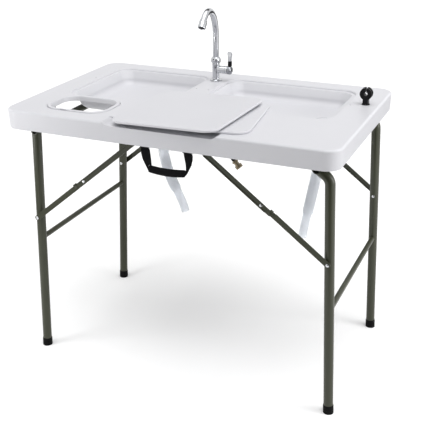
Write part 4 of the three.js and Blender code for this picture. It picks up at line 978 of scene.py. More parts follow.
@dataclass
class TableTop(Assembly):
    """The moulded top with its basins, scrap hole, sill, bosses and ribs."""

    left: Basin = field(default_factory=lambda: Basin(-253.5, 77, 333, 360))
    right: Basin = field(default_factory=lambda: Basin(192.5, 96, 421, 322))
    rim: Rounded = Rounded(TOP_LENGTH, TOP_WIDTH, 46.0)
    edge: float = 7.0
    edge_steps: int = 6
    draft: float = 2.0
    skirt: float = 6.0
    scrap: Flat = (-305.0, -191.0)
    scrap_rim: Rounded = Rounded(204.0, 156.0, 56.0)
    rebate: float = 5.0
    rebate_width: float = 9.0
    sill_length: float = 332.0
    sill_drop: float = 10.0
    sill_reach: float = 54.0
    sill_run: float = 22.0
    sill_steps: int = 14
    drains: tuple[Flat, ...] = ((-168.0, 25.0), (347.0, 75.0))
    drain_pad: float = 36.0
    peg_xs: tuple[float, ...] = (-434.0, -73.0, -32.0, 417.0)
    peg_y: float = 98.0
    peg_bore: float = 2.8
    faucet_bore: float = 10.1
    bore_low: float = 790.0
    boss_width: float = 26.0
    tube_reach: float = 310.0
    rib: float = 3.0
    rib_depth: float = 26.0
    rib_pitch: float = 62.0

    def shell(self) -> Shape:
        """Makes the rim and deck, open below.

        Returns:
            The shape.
        """
        edge = [(rise, TOP_HEIGHT - side) for side, rise in rounding(self.edge, self.edge_steps)]
        foot = [(self.draft + 1.5, SKIRT_BOTTOM), (self.draft, SKIRT_BOTTOM + 2.5)]
        wall = self.skirt + self.draft
        inside = self.rim.stack([(wall, SKIRT_BOTTOM - PAST), (wall, TOP_HEIGHT - DECK_WALL)])
        return combined(self.rim.stack([*foot, *edge]), (Cut.REMOVE, inside))

    def ramp(self, side: int) -> list[Flat]:
        """Follows one end of the sill, from the deck down.

        Args:
            side: 1 for the right end and -1 for the left.

        Returns:
            X and Z of each point.
        """
        half, run = self.sill_length / 2, self.sill_run
        shares = [i / self.sill_steps for i in range(self.sill_steps + 1)]
        falls = [self.sill_drop * (1 - math.cos(share * math.pi)) / 2 for share in shares]
        return [(side * (half + run * (0.5 - s)), TOP_HEIGHT - fall) for s, fall in zip(shares, falls)]

    def sill(self) -> tuple[Shape, Shape]:
        """Makes the floor below the lowered sill and the notch above it.

        Returns:
            The floor and the notch.
        """
        half = self.sill_length / 2
        end = half + self.sill_run / 2
        high = TOP_HEIGHT + PAST
        front = -TOP_WIDTH / 2
        outline = [(end, high), *self.ramp(1), *reversed(self.ramp(-1)), (-end, high)]
        notch = plate(outline, front - PAST, front + self.sill_reach)
        low = (-half - self.sill_run, front + self.skirt, TOP_HEIGHT - DECK_WALL - self.sill_drop)
        floor = brick(low, (half + self.sill_run, front + self.sill_reach + DECK_WALL, IN_DECK))
        return floor, notch

    def scrap_stack(self, insets: Sequence[Flat]) -> Shape:
        """Stacks the scrap hole's outline in its place."""
        return self.scrap_rim.stack(insets, Matrix.Translation((*self.scrap, 0)))

    def scrap_cut(self) -> Shape:
        """Makes the scrap hole's way through, with the seat of its ring.

        Returns:
            The shape.
        """
        seat, wide = TOP_HEIGHT - self.rebate, self.rebate_width
        insets = [
            (wide, SKIRT_BOTTOM - PAST), (wide, seat), (0, seat), (0, TOP_HEIGHT - 1.2),
            (-0.4, TOP_HEIGHT - 0.4), (-1.2, TOP_HEIGHT), (-1.2, TOP_HEIGHT + PAST),
        ]
        return self.scrap_stack(insets)

    def scrap_collar(self) -> Shape:
        """Makes the stiffening under the scrap hole's seat."""
        low = TOP_HEIGHT - self.rebate - DECK_WALL
        return self.scrap_stack([(-DECK_WALL, low), (-DECK_WALL, IN_DECK)])

    def bosses(self) -> Shape:
        """Makes the four bosses that the pivot tubes lie in.

        Returns:
            The shape.
        """
        half = self.boss_width / 2
        spots = [(x, y) for x in (-PIVOT_X, PIVOT_X) for y in (-BOSS_Y, BOSS_Y)]
        return merged(*(
            brick((x - BOSS_HALF, y - half, PIVOT_Z), (x + BOSS_HALF, y + half, IN_DECK)) for x, y in spots
        ))

    def ribs(self) -> Shape:
        """Makes the lattice of ribs under the open work area.

        Returns:
            The shape.
        """
        low = TOP_HEIGHT - DECK_WALL - self.rib_depth
        left, front, rear = 188.0, -242.0, -65.0
        xs = [left + self.rib_pitch * i for i in range(4)]
        first, *others = [brick((x, front, low), (x + self.rib, rear, IN_DECK)) for x in xs]
        others += [
            brick((left, y, low), (xs[-1], y + self.rib, IN_DECK)) for y in (front, (front + rear) / 2)
        ]
        return combined(first, *((Cut.ADD, rib) for rib in others))

    def drain_cut(self, x: float, y: float) -> Shape:
        """Makes a drain's stepped hole.

        Args:
            x: The drain's X.
            y: The drain's Y.

        Returns:
            The shape.
        """
        profile = [
            (0, -40), (19.3, -40), (19.3, -3), (31.3, -3), (31.3, -0.8), (32.3, 0.3), (32.3, 30), (0, 30),
        ]
        return turned(profile, Vector((x, y, BASIN_FLOOR)), UP, 64)

    def bore(self, x: float, y: float, radius: float, steps: int) -> Shape:
        """Makes a hole down through the deck."""
        return rod((x, y, self.bore_low), (x, y, TOP_HEIGHT + PAST), radius, steps)

    def build(self) -> None:
        """Makes the top."""
        floor, notch = self.sill()
        pad_high = BASIN_FLOOR - DECK_WALL / 2
        pads = [rod((x, y, SKIRT_BOTTOM), (x, y, pad_high), self.drain_pad, 48) for x, y in self.drains]
        pegs = [self.bore(x, self.peg_y, self.peg_bore, 20) for x in self.peg_xs]
        faucet = self.bore(*FAUCET_SPOT, self.faucet_bore, 24)
        reach = self.tube_reach
        tubes = [
            rod((x, -reach, PIVOT_Z), (x, reach, PIVOT_Z), PIVOT_BORE) for x in (-PIVOT_X, PIVOT_X)
        ]
        added = (
            merged(self.left.tub(), self.right.tub()), merged(*pads), floor, self.scrap_collar(),
            self.bosses(), self.ribs(),
        )
        removed = (
            merged(self.left.hollow(), self.right.hollow()), notch,
            merged(self.scrap_cut(), faucet, *pegs),
            merged(*(self.drain_cut(x, y) for x, y in self.drains)), merged(*tubes),
        )
        steps = [*((Cut.ADD, shape) for shape in added), *((Cut.REMOVE, shape) for shape in removed)]
        whole = combined(self.shell(), *steps)
        self.shop.place(whole, "moulded top", WHITE_SHELL, TOP_BODY, "table_top", sharp=40)


@dataclass
class ScrapRing(Assembly):
    """The loose ring that lines the scrap hole, with its finger notches."""

    top: TableTop
    gap: float = 1.5
    rise: float = 2.5
    wall: float = 3.0
    depth: float = 6.5
    lip: float = 6.0
    notches: tuple[tuple[Flat, Flat], ...] = (
        ((-407.0, -191.0), (5.0, 12.0)),
        ((-268.0, -113.0), (12.0, 5.0)),
        ((-330.0, -269.0), (12.0, 5.0)),
    )

    def build(self) -> None:
        """Makes the ring."""
        seat = TOP_HEIGHT - self.top.rebate + GAP
        low, high = seat - self.depth, TOP_HEIGHT + self.rise
        collar = self.top.rebate_width + self.gap
        inner = collar + self.wall
        gap, edge = self.gap, inner - 3.4
        outside = [
            (inner, low), (collar, low + self.wall), (collar, seat), (gap, seat), (gap, TOP_HEIGHT),
            (gap + 0.4, TOP_HEIGHT + 1.2), (gap + 1.3, high - 0.4), (gap + self.rise, high),
        ]
        inside = [
            (inner + self.wall, low - PAST), (inner + 1, low + self.wall), (inner, TOP_HEIGHT - self.lip),
            (inner - 0.8, TOP_HEIGHT - 2), (inner - 1.8, TOP_HEIGHT + 1), (edge, high), (edge, high + PAST),
        ]
        notches = [
            Rounded(2 * dx, 2 * dy, min(dx, dy) - 0.5).stack(
                [(0, seat - 5), (0, high + 9)], Matrix.Translation((*spot, 0)), 8
            )
            for spot, (dx, dy) in self.notches
        ]
        cuts = (self.top.scrap_stack(inside), merged(*notches))
        ring = combined(self.top.scrap_stack(outside), *((Cut.REMOVE, cut) for cut in cuts))
        self.shop.place(ring, "scrap ring", WHITE_SHELL, "scrap_ring_body", sharp=40)


@dataclass
class LooseBoards(Assembly):
    """The cutting board flat on the deck, and the basin lid that lies across its edge.

    Each is given as the X and Y of its middle, its length, its width and its turn in degrees.
    """

    thickness: float = 7.0
    corner: float = 40.0
    edge: float = 2.2
    edge_steps: int = 4
    board: tuple[float, ...] = (133.0, -152.0, 190.0, 300.0, 7.0)
    lid: tuple[float, ...] = (20.0, -162.0, 325.0, 344.0, -3.0)
    lid_field: tuple[Flat, ...] = ((16, -5), (16, 1.2), (17.2, 2))
    seat: float = TOP_HEIGHT + GAP

    def slab(self, length: float, width: float, hollows: bool) -> Shape:
        """Makes a rounded slab on the origin.

        Args:
            length: Size along X.
            width: Size along Y.
            hollows: Whether the underside has the shallow field of a moulded lid.

        Returns:
            The slab.
        """
        rim = Rounded(length, width, self.corner)
        low = rounding(self.edge, self.edge_steps)
        high = [(side, self.thickness - rise) for side, rise in reversed(low)]
        slab = rim.stack([*low, *high], segments=16)
        if not hollows:
            return slab
        return combined(slab, (Cut.REMOVE, rim.stack(self.lid_field, segments=16)))

    def lid_matrix(self) -> Matrix:
        """Tilts the lid so that its underside meets the board's edge and the front rim.

        Returns:
            The lid's place.
        """
        bx, by, length, _, degrees = self.board
        across = Matrix.Rotation(math.radians(degrees), 3, "Z") @ ALONG_X
        edge = Vector((bx, by, self.seat)) - across * length / 2
        x, y, lid_length, lid_width, turn = self.lid
        spin = Matrix.Rotation(math.radians(turn), 3, "Z")
        reach = []
        for sx, sy in ((-1, -1), (-1, 1), (1, -1), (1, 1)):
            middle = Vector((sx * (lid_length / 2 - self.corner), sy * (lid_width / 2 - self.corner), 0))
            spot = Vector((x, y, self.seat)) + spin @ middle - across * (self.corner - self.edge)
            reach.append((spot - edge).dot(across))
        rise = self.thickness + GAP
        tilt = math.asin(rise / -min(reach))
        hinge = Vector((edge.x, edge.y, edge.z + rise))
        lean = Matrix.Rotation(-tilt, 4, UP.cross(across))
        flat = Matrix.Translation((x, y, self.seat + rise)) @ spin.to_4x4()
        return Matrix.Translation(hinge) @ lean @ Matrix.Translation(-hinge) @ flat

    def build(self) -> None:
        """Makes both."""
        x, y, length, width, degrees = self.board
        place = Matrix.Translation((x, y, self.seat)) @ Matrix.Rotation(math.radians(degrees), 4, "Z")
        board = moved(self.slab(length, width, False), place)
        self.shop.place(board, "cutting board", WHITE_BOARD, "cutting_board_body", sharp=40)
        lid = moved(self.slab(self.lid[2], self.lid[3], True), self.lid_matrix())
        self.shop.place(lid, "basin lid", WHITE_BOARD, "basin_lid_body", sharp=40)


@dataclass
class Drain(Assembly):
    """A strainer with its tail and spigot, and the nut that holds it."""

    side: Side
    x: float
    y: float
    flange: float = 31.0
    tube: float = 19.0
    bowl: float = 15.0
    spigot: float = 11.5
    bore: float = 9.0
    hole: float = 1.4
    hole_rings: tuple[tuple[int, float], ...] = ((6, 5.0), (12, 9.3))
    nut_drop: float = 8.0
    wing: Point = (4, 1.8, 4)
    wing_ring: float = 27.0
    wings: int = 8

    def strainer(self) -> Shape:
        """Makes the flanged strainer with two rings of holes.

        Returns:
            The shape.
        """
        bore, spigot, tube, bowl, flange = self.bore, self.spigot, self.tube, self.bowl, self.flange
        profile = [
            (0, -8.3), (bore, -8.3), (bore, -52), (spigot - 0.8, -52), (spigot, -51), (spigot, -45),
            (spigot + 0.4, -44), (spigot, -42), (spigot, -28), (tube - 1, -28), (tube, -27), (tube, -2.7),
            (flange, -2.7), (flange, -1.8), (flange - 1, -1), (bowl + 3, -0.3), (bowl + 1, -0.6),
            (bowl, -1.5), (bowl - 1.5, -5.6), (bowl - 3, -6.3), (3, -6.3), (2, -5.4), (0, -5),
        ]
        body = turned(profile, Vector((self.x, self.y, BASIN_FLOOR)), UP, 64)
        low, high = BASIN_FLOOR - 12, BASIN_FLOOR - 2
        holes = []
        for count, radius in self.hole_rings:
            for i in range(count):
                angle = i * 2 * math.pi / count
                spot = (self.x + radius * math.cos(angle), self.y + radius * math.sin(angle))
                holes.append(rod((*spot, low), (*spot, high), self.hole, 12))
        return combined(body, (Cut.REMOVE, merged(*holes)))

    def nut(self) -> Shape:
        """Makes the winged backing nut.

        Returns:
            The shape.
        """
        bore = self.tube + GAP
        start = Vector((self.x, self.y, BASIN_FLOOR - self.nut_drop - GAP))
        ring = turned([(bore, 0), (bore, -9), (25, -9), (27, -7), (27, 0), (bore, 0)], start)
        middle = Matrix.Translation(start + Vector((0, 0, -4.5)))
        out = Matrix.Translation((self.wing_ring, 0, 0))
        low = tuple(-half for half in self.wing)
        wings = [
            moved(brick(low, self.wing, 1.2), middle @ Matrix.Rotation(i * math.pi / 4, 4, "Z") @ out)
            for i in range(self.wings)
        ]
        return combined(ring, (Cut.ADD, merged(*wings)))

    def build(self) -> None:
        """Makes the strainer and its nut."""
        word = self.side.word
        self.shop.place(self.strainer(), f"{word} strainer", WHITE_SHELL, TOP_BODY, f"{word}_drain_strainer")
        self.shop.place(self.nut(), f"{word} drain nut", WHITE_SHELL, TOP_BODY)


@dataclass
class DrainHose(Assembly):
    """A milky hose with a wider cuff that slips over the drain's spigot."""

    side: Side
    route: tuple[Point, ...]
    radius: float = 13.4
    bore: float = 10.6
    cuff_radius: float = 16.5
    cuff_bore: float = 12.4
    cuff_share: float = 0.76
    start_share: float = 0.42
    sides: int = 40

    def build(self) -> None:
        """Makes the cuff, and the hose that starts inside it."""
        word, place = self.side.word, self.shop.place
        line = smooth_line(self.route)
        last = round(len(line) * self.cuff_share)
        first = round(len(line) * self.start_share)
        node = f"{word}_drain_hose"
        cuff = swept(line[: last + 1], self.cuff_radius, self.sides, self.cuff_radius - self.cuff_bore)
        upper = place(cuff, f"{word} hose cuff", MILKY_VINYL, TOP_BODY, node, weighted=False)
        shape = swept(line[first:], self.radius, self.sides, self.radius - self.bore)
        lower = place(shape, f"{word} hose", MILKY_VINYL, TOP_BODY, node, weighted=False)
        path, length = self.shop.path(line[first:])
        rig.cord(
            lower, path[0], length, 2 * self.radius * MM, "bare", "stiff", "hanging", path=path,
            with_pieces=[upper],
        )


@dataclass
class Faucet(Assembly):
    """The gooseneck faucet: flange, body with side valve, collar nut, spout, aerator and lever."""

    body_low: float = 820.6
    body_top: float = 871.6
    shank_low: float = 774.0
    thread_top: float = 806.0
    thread_pitch: float = 1.5
    valve_z: float = 852.0
    valve_end: float = -15.5
    hub: float = 13.5
    band_height: float = 15.0
    riser: float = 85.0
    arch_half: float = 57.5
    arch_height: float = 88.0
    arch_degrees: float = 131.0
    arch_steps: int = 56
    spout_end: float = 8.0
    spout: float = 9.3
    bore: float = 7.0

    def seat(self, z: float) -> Vector:
        """Gives the point of the faucet's axis at a height."""
        return Vector((*FAUCET_SPOT, z))

    def body(self) -> Shape:
        """Makes the column, the side valve barrel and the threaded shank.

        Returns:
            The shape.
        """
        threads = []
        z = self.shank_low + 1
        while z < self.thread_top:
            threads += [(9.5, z), (9.0, z + 0.6)]
            z += self.thread_pitch
        low, high = self.body_low, self.body_top
        profile = [
            (6, self.shank_low), (8.8, self.shank_low), *threads, (9.5, 808), (9.5, low), (11.6, low),
            (11.6, low + 1.5), (11.0, low + 3), (11.0, 838), (11.3, 840), (11.3, high - 2), (10.6, high),
            (6, high), (6, self.shank_low),
        ]
        reach = self.valve_end - FAUCET_SPOT[0]
        barrel = [
            (0, 7), (12.0, 7), (12.0, reach - 8), (11.2, reach - 7.4), (11.2, reach - 6.2),
            (12.8, reach - 5.4), (12.8, reach - 0.8), (12.0, reach), (0, reach),
        ]
        valve = turned(barrel, self.seat(self.valve_z), ALONG_X, 64)
        return combined(turned(profile, self.seat(0), UP, 64), (Cut.ADD, valve))

    def spout_line(self) -> tuple[list[Vector], Vector, Vector]:
        """Follows the gooseneck's centre line.

        Returns:
            The line, the arch's end and the heading there.
        """
        arch_z = self.body_top + self.riser
        turn = math.radians(self.arch_degrees)
        low = self.body_top + 2 * GAP
        x, y = FAUCET_SPOT
        line = [self.seat(low + (arch_z - low) * i / 6) for i in range(6)]
        for i in range(self.arch_steps + 1):
            angle = turn * i / self.arch_steps
            back = self.arch_half * (1 - math.cos(angle))
            line.append(Vector((x, y - back, arch_z + self.arch_height * math.sin(angle))))
        end = line[-1]
        slope = (0, -self.arch_half * math.sin(turn), self.arch_height * math.cos(turn))
        heading = Vector(slope).normalized()
        return [*line, end + heading * self.spout_end], end, heading

    def build(self) -> None:
        """Makes the faucet's pieces."""
        place = self.shop.place
        flange = [
            (9.8, 0), (19, 0), (20, 0.8), (20, 2.2), (19, 3.2), (15, 4.2), (13.5, 5), (9.8, 5), (9.8, 0),
        ]
        shape = turned(flange, self.seat(TOP_HEIGHT + GAP), UP, 64)
        place(shape, "faucet flange", POLISHED_CHROME, TOP_BODY)
        place(self.body(), "faucet body", POLISHED_CHROME, TOP_BODY)
        collar = [
            (9.6, 0), (12.2, 0), (13.0, 1.2), (14.2, 2.2), (14.9, 5), (15, 10), (14.6, 14), (13.4, 17.2),
            (11.6, 19.4), (9.6, 20), (9.6, 0),
        ]
        shape = turned(collar, self.seat(self.body_top + GAP), UP, 64)
        place(shape, "spout collar nut", POLISHED_CHROME, TOP_BODY)
        line, end, heading = self.spout_line()
        tube = swept(line, self.spout, 40, self.spout - self.bore, ALONG_X)
        place(tube, "gooseneck spout", POLISHED_CHROME, "spout_body", "faucet_spout", weighted=False)
        self.tip(end, heading)
        self.lever()
        nut = [(9.8, 0), (9.8, -9), (12.5, -9), (19, -5.5), (20, -4), (20, -0.6), (19.4, 0), (9.8, 0)]
        shape = turned(nut, self.seat(TOP_HEIGHT - DECK_WALL - GAP))
        place(shape, "faucet mounting nut", BLACK_MOULDING, TOP_BODY)

    def tip(self, end: Vector, heading: Vector) -> None:
        """Makes the aerator cup with its screen.

        Args:
            end: The arch's end.
            heading: The spout's direction there.
        """
        cup = [
            (0, 9.2), (9.9, 9.2), (9.9, 0), (10.6, 0), (11.4, 1.2), (11.4, 4), (11.0, 4.6), (11.0, 6),
            (12, 7), (12, 25.4), (11.4, 26.8), (10.2, 27), (9.4, 26), (9.2, 24), (0, 24),
        ]
        screen = [(0, 24.1), (8.8, 24.1), (8.8, 24.6), (0, 25.2)]
        for profile, name, finish, steps in (
            (cup, "aerator", POLISHED_CHROME, 64), (screen, "aerator screen", BLACK_MOULDING, 40),
        ):
            shape = turned(profile, end, heading, steps)
            self.shop.place(shape, name, finish, "spout_body", "spout_aerator")

    def lever(self) -> None:
        """Makes the turning hub, its black band and the lever."""
        place, body = self.shop.place, "lever_body"
        start = Vector((self.valve_end + GAP, FAUCET_SPOT[1], self.valve_z))
        hub = [
            (0, 0), (12.3, 0), (13.3, 1), (self.hub, 2.4), (self.hub, 8), (12.8, 10.4), (11, 12.4),
            (7, 13.6), (0, 14),
        ]
        # The hub takes the darker copy of the chrome: painted shade.
        place(turned(hub, start, ALONG_X, 64), "valve hub", CHROME_PAINTED_SHADE, body)
        base = start + Vector((7, 0, self.hub + GAP))
        high = self.band_height
        band = [(0, 0), (5.8, 0), (6.5, 0.8), (6.5, high - 0.8), (5.8, high), (0, high)]
        place(turned(band, base, UP, 40), "lever band", BLACK_MOULDING, body)
        sections = (
            (0, 9.8, 7.4), (0.8, 10.6, 8.0), (6, 11.0, 7.2), (14, 12.6, 6.6), (20, 14.8, 6.0), (25, 16, 5.2),
            (28, 14.6, 4.4), (29.4, 11.6, 3.2), (30, 8, 1.8),
        )
        levels = [Level(wide, deep, deep / 2 - 0.1, high + GAP + z) for z, wide, deep in sections]
        blade = stack(levels, Matrix.Translation(base), 8)
        place(blade, "faucet lever", POLISHED_CHROME, body, sharp=60)


@dataclass
class SupplyLine(Assembly):
    """The supply hose from the faucet's shank to the brass hose coupling and its swivel."""

    route: tuple[Point, ...]
    faucet: Faucet
    radius: float = 7.0
    end_heading: Point = (0.6626, 0.0, -0.74897)
    knurls: int = 24
    knurl_ring: float = 12.6
    knurl_ends: Flat = (19.8, 29.2)

    def build(self) -> None:
        """Makes the hose and its fittings."""
        place = self.shop.place
        nut = [
            (0, 0), (8.6, 0), (12, 2.4), (13, 3.4), (13, 13), (12, 14), (10.1, 14), (10.1, 6.7), (0, 6.7),
        ]
        shape = turned(nut, self.faucet.seat(self.faucet.shank_low - GAP - 7), UP, 6)
        place(shape, "supply nut", MACHINED_BRASS, TOP_BODY, sharp=20)
        line = smooth_line(self.route)
        hose = place(swept(line, self.radius), "supply hose", BLACK_RUBBER, TOP_BODY, weighted=False)
        heading = Vector(self.end_heading).normalized()
        pieces = self.coupling(line[-1] + heading * GAP, heading)
        path, length = self.shop.path(line)
        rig.cord(
            hose, path[0], length, 2 * self.radius * MM, "fitting", "stiff", "hanging", path=path,
            with_pieces=pieces,
        )

    def coupling(self, start: Vector, heading: Vector) -> list[bpy.types.Object]:
        """Makes the brass coupling and its knurled swivel ring.

        Args:
            start: The hose's end.
            heading: Its direction there.

        Returns:
            Both pieces.
        """
        core = [
            (0, 0), (7.6, 0), (8.2, 0.8), (8.2, 8), (7.6, 8.6), (7.6, 10), (8.2, 10.6), (8.2, 23),
            (7.6, 24), (5.2, 24), (5.2, 7), (0, 7),
        ]
        hexagon = [(0, 1.4), (10.4, 1.4), (11, 2.1), (11, 6.9), (10.4, 7.6), (0, 7.6)]
        bore = [(0, 6.5), (5.2, 6.5), (5.2, 60), (0, 60)]
        ring = [
            (8.55, 18), (11.4, 18), (12.2, 18.9), (12.2, 30), (11.4, 31), (10.3, 31), (10, 30.4),
            (10, 25), (8.55, 24.6), (8.55, 18),
        ]
        body = combined(
            turned(core, start, heading), (Cut.ADD, turned(hexagon, start, heading, 6)),
            (Cut.REMOVE, turned(bore, start, heading)),
        )
        frame = turn_matrix(start, heading)
        grooves = []
        for i in range(self.knurls):
            angle = i * 2 * math.pi / self.knurls
            x, y = self.knurl_ring * math.cos(angle), self.knurl_ring * math.sin(angle)
            grooves.append(rod(*(frame @ Vector((x, y, z)) for z in self.knurl_ends), 1.0, 8))
        swivel = combined(turned(ring, start, heading, 96), (Cut.REMOVE, merged(*grooves)))
        place, brass = self.shop.place, MACHINED_BRASS
        return [
            place(body, "hose coupling", brass, TOP_BODY, sharp=25),
            place(swivel, "coupling swivel", brass, "swivel_body", "coupling_swivel_ring", sharp=25),
        ]


@dataclass
class SprayerClip(Assembly):
    """The spring clip on the deck that holds a hose sprayer."""

    x: float = 458.0
    y: float = 120.0
    depth: float = 20.0
    stem: float = 16.0
    height: float = 14.5
    ring: float = 18.0
    bore: float = 5.4
    slot: float = 2.8
    mouth: Flat = (98.0, 442.0)
    base: float = TOP_HEIGHT + GAP

    def build(self) -> None:
        """Makes the clip."""
        base = self.base
        centre = (self.x, base + self.height + self.ring)
        low, high = self.y - self.depth / 2, self.y + self.depth / 2
        half_slot = math.asin(self.slot / 2 / self.bore)
        outer = arc(centre, self.ring, *map(math.radians, self.mouth), 60)
        inner = arc(centre, self.bore, math.pi / 2 - half_slot, -3 * math.pi / 2 + half_slot, 40)
        jaws = plate([*outer, *inner], low, high, 1.0)
        left, right = self.x - self.stem / 2, self.x + self.stem / 2
        stem = brick((left, low, base), (right, high, centre[1] - self.bore - 3), 0.8)
        foot = turned([(0, 0), (12, 0), (12, 1.5), (10.8, 2.8), (0, 3)], Vector((self.x, self.y, base)))
        deep, wide = self.ring - 4.0, self.ring + 1.0
        rim = [(deep, -3), (wide, -3.6), (wide, 3.6), (deep, 3), (deep, -3)]
        groove = turned(rim, Vector((self.x, self.y, centre[1])), ALONG_Y, 60)
        whole = combined(jaws, (Cut.REMOVE, groove), (Cut.ADD, stem), (Cut.ADD, foot))
        self.shop.place(whole, "sprayer clip", BLACK_MOULDING, TOP_BODY, sharp=35)


@dataclass
class CarryHandle(Assembly):
    """The webbing handle inside the front skirt, its firm grip and two anchors."""

    middle: float = 20.0
    span: float = 128.0
    bar_y: float = -309.5
    bar_z: float = 755.4
    drop: float = 62.0
    sag: float = 4.5
    webbing: float = 25.0
    grip_length: float = 112.0
    grip_height: float = 21.5
    grip_depth: float = 22.0
    grip_steps: int = 24
    crown: float = 0.06
    end_share: float = 0.93
    end_round: float = 0.35
    face: float = -315.0 + GAP
    anchor_half: float = 15.5
    seams: Flat = (746.0, 743.2)

    def line(self, x: float) -> float:
        """Gives the grip's centre height at a place along it."""
        share = (x - self.middle) / (self.grip_length / 2)
        return self.bar_z - self.drop - self.sag * (1 - share**2)

    def across(self, x: float, half: float, radius: float, steps: int) -> Shape:
        """Makes a rod on the line of the anchors' bars."""
        low, high = (x - half, self.bar_y, self.bar_z), (x + half, self.bar_y, self.bar_z)
        return rod(low, high, radius, steps)

    def anchor(self, x: float) -> Shape:
        """Makes one anchor plate with its ears, bar and screws.

        Args:
            x: The anchor's middle.

        Returns:
            The shape.
        """
        face, half, low = self.face, self.anchor_half, SKIRT_BOTTOM + 4
        head = [(0, -1), (4, -1), (4, 0.8), (3.2, 1.8), (1.5, 2), (0, 2)]
        steps = []
        for end in (-1, 1):
            a, b = sorted((x + end * half, x + end * (half - 2)))
            ear = brick((a, face, self.bar_z - 2), (b, self.bar_y + 2, low + 4), 0.4)
            screw = turned(head, Vector((x + end * 6.25, face + 2, low + 13)), ALONG_Y, 24)
            steps += [(Cut.ADD, ear), (Cut.ADD, screw)]
        base = brick((x - half, face, low), (x + half, face + 2, low + 26), 0.5)
        return combined(base, *steps, (Cut.ADD, self.across(x, 14.5, 2, 24)))

    def strap(self) -> Shape:
        """Makes both drops of webbing with their sewn loops.

        Returns:
            The shape.
        """
        steps = []
        half, y = self.webbing / 2, self.bar_y
        shared = [
            (-12.5, 0), (12.5, 0), (12.5, -2.4), (13.8, -6), (13.4, -16), (9.5, -33), (-3, -58),
            (-6.6, -63.6), (-6.8, -52),
        ]
        ends = {
            Side.LEFT: [(-11, -48.4), (-17.6, -49.4), (-16.6, -33), (-13.8, -6), (-12.5, -2.4)],
            Side.RIGHT: [(-7, -33), (-12.5, -4)],
        }
        for side in Side:
            x = self.middle + side.value * self.span / 2
            sign, top = side.value, self.bar_z - 3.6
            outline = [(x + sign * along, top + fall) for along, fall in shared + ends[side]]
            if side is Side.RIGHT:
                outline.reverse()
            steps.append(plate(outline, y - 1, y + 1, 0.3))
            eye = combined(self.across(x, half, 4.35, 32), (Cut.REMOVE, self.across(x, half + 5, 2.35, 24)))
            steps.append(eye)
            for z in self.seams:
                steps.append(brick((x - half + 2, y - 1.25, z), (x + half - 2, y + 1.25, z + 0.5)))
        return merged(*steps)

    def grip(self) -> Shape:
        """Makes the firm sleeve round the webbing, thickest in the middle.

        Returns:
            The shape.
        """
        shares = [i / self.grip_steps - 0.5 for i in range(self.grip_steps + 1)]
        xs = [self.middle + share * self.grip_length for share in shares]
        mesh = swept([Vector((x, self.bar_y, self.line(x))) for x in xs], self.grip_height / 2)
        for vert in mesh.verts:
            share = abs(vert.co.x - self.middle) / (self.grip_length / 2)
            centre = self.line(vert.co.x)
            crown = 1.0 - self.crown * share**2
            if share > self.end_share:
                crown *= 1 - self.end_round * ((share - self.end_share) / (1 - self.end_share)) ** 2
            vert.co.y = self.bar_y + (vert.co.y - self.bar_y) * crown * self.grip_depth / self.grip_height
            vert.co.z = centre + (vert.co.z - centre) * crown
        return mesh

    def build(self) -> None:
        """Makes the handle."""
        place = self.shop.place
        for side in Side:
            x = self.middle + side.value * self.span / 2
            place(self.anchor(x), f"{side.word} handle anchor", BRIGHT_ZINC, TOP_BODY)
        place(self.strap(), "handle webbing", BLACK_WEBBING, "handle_body")
        place(self.grip(), "handle grip", BLACK_WEBBING, "handle_body", sharp=60)


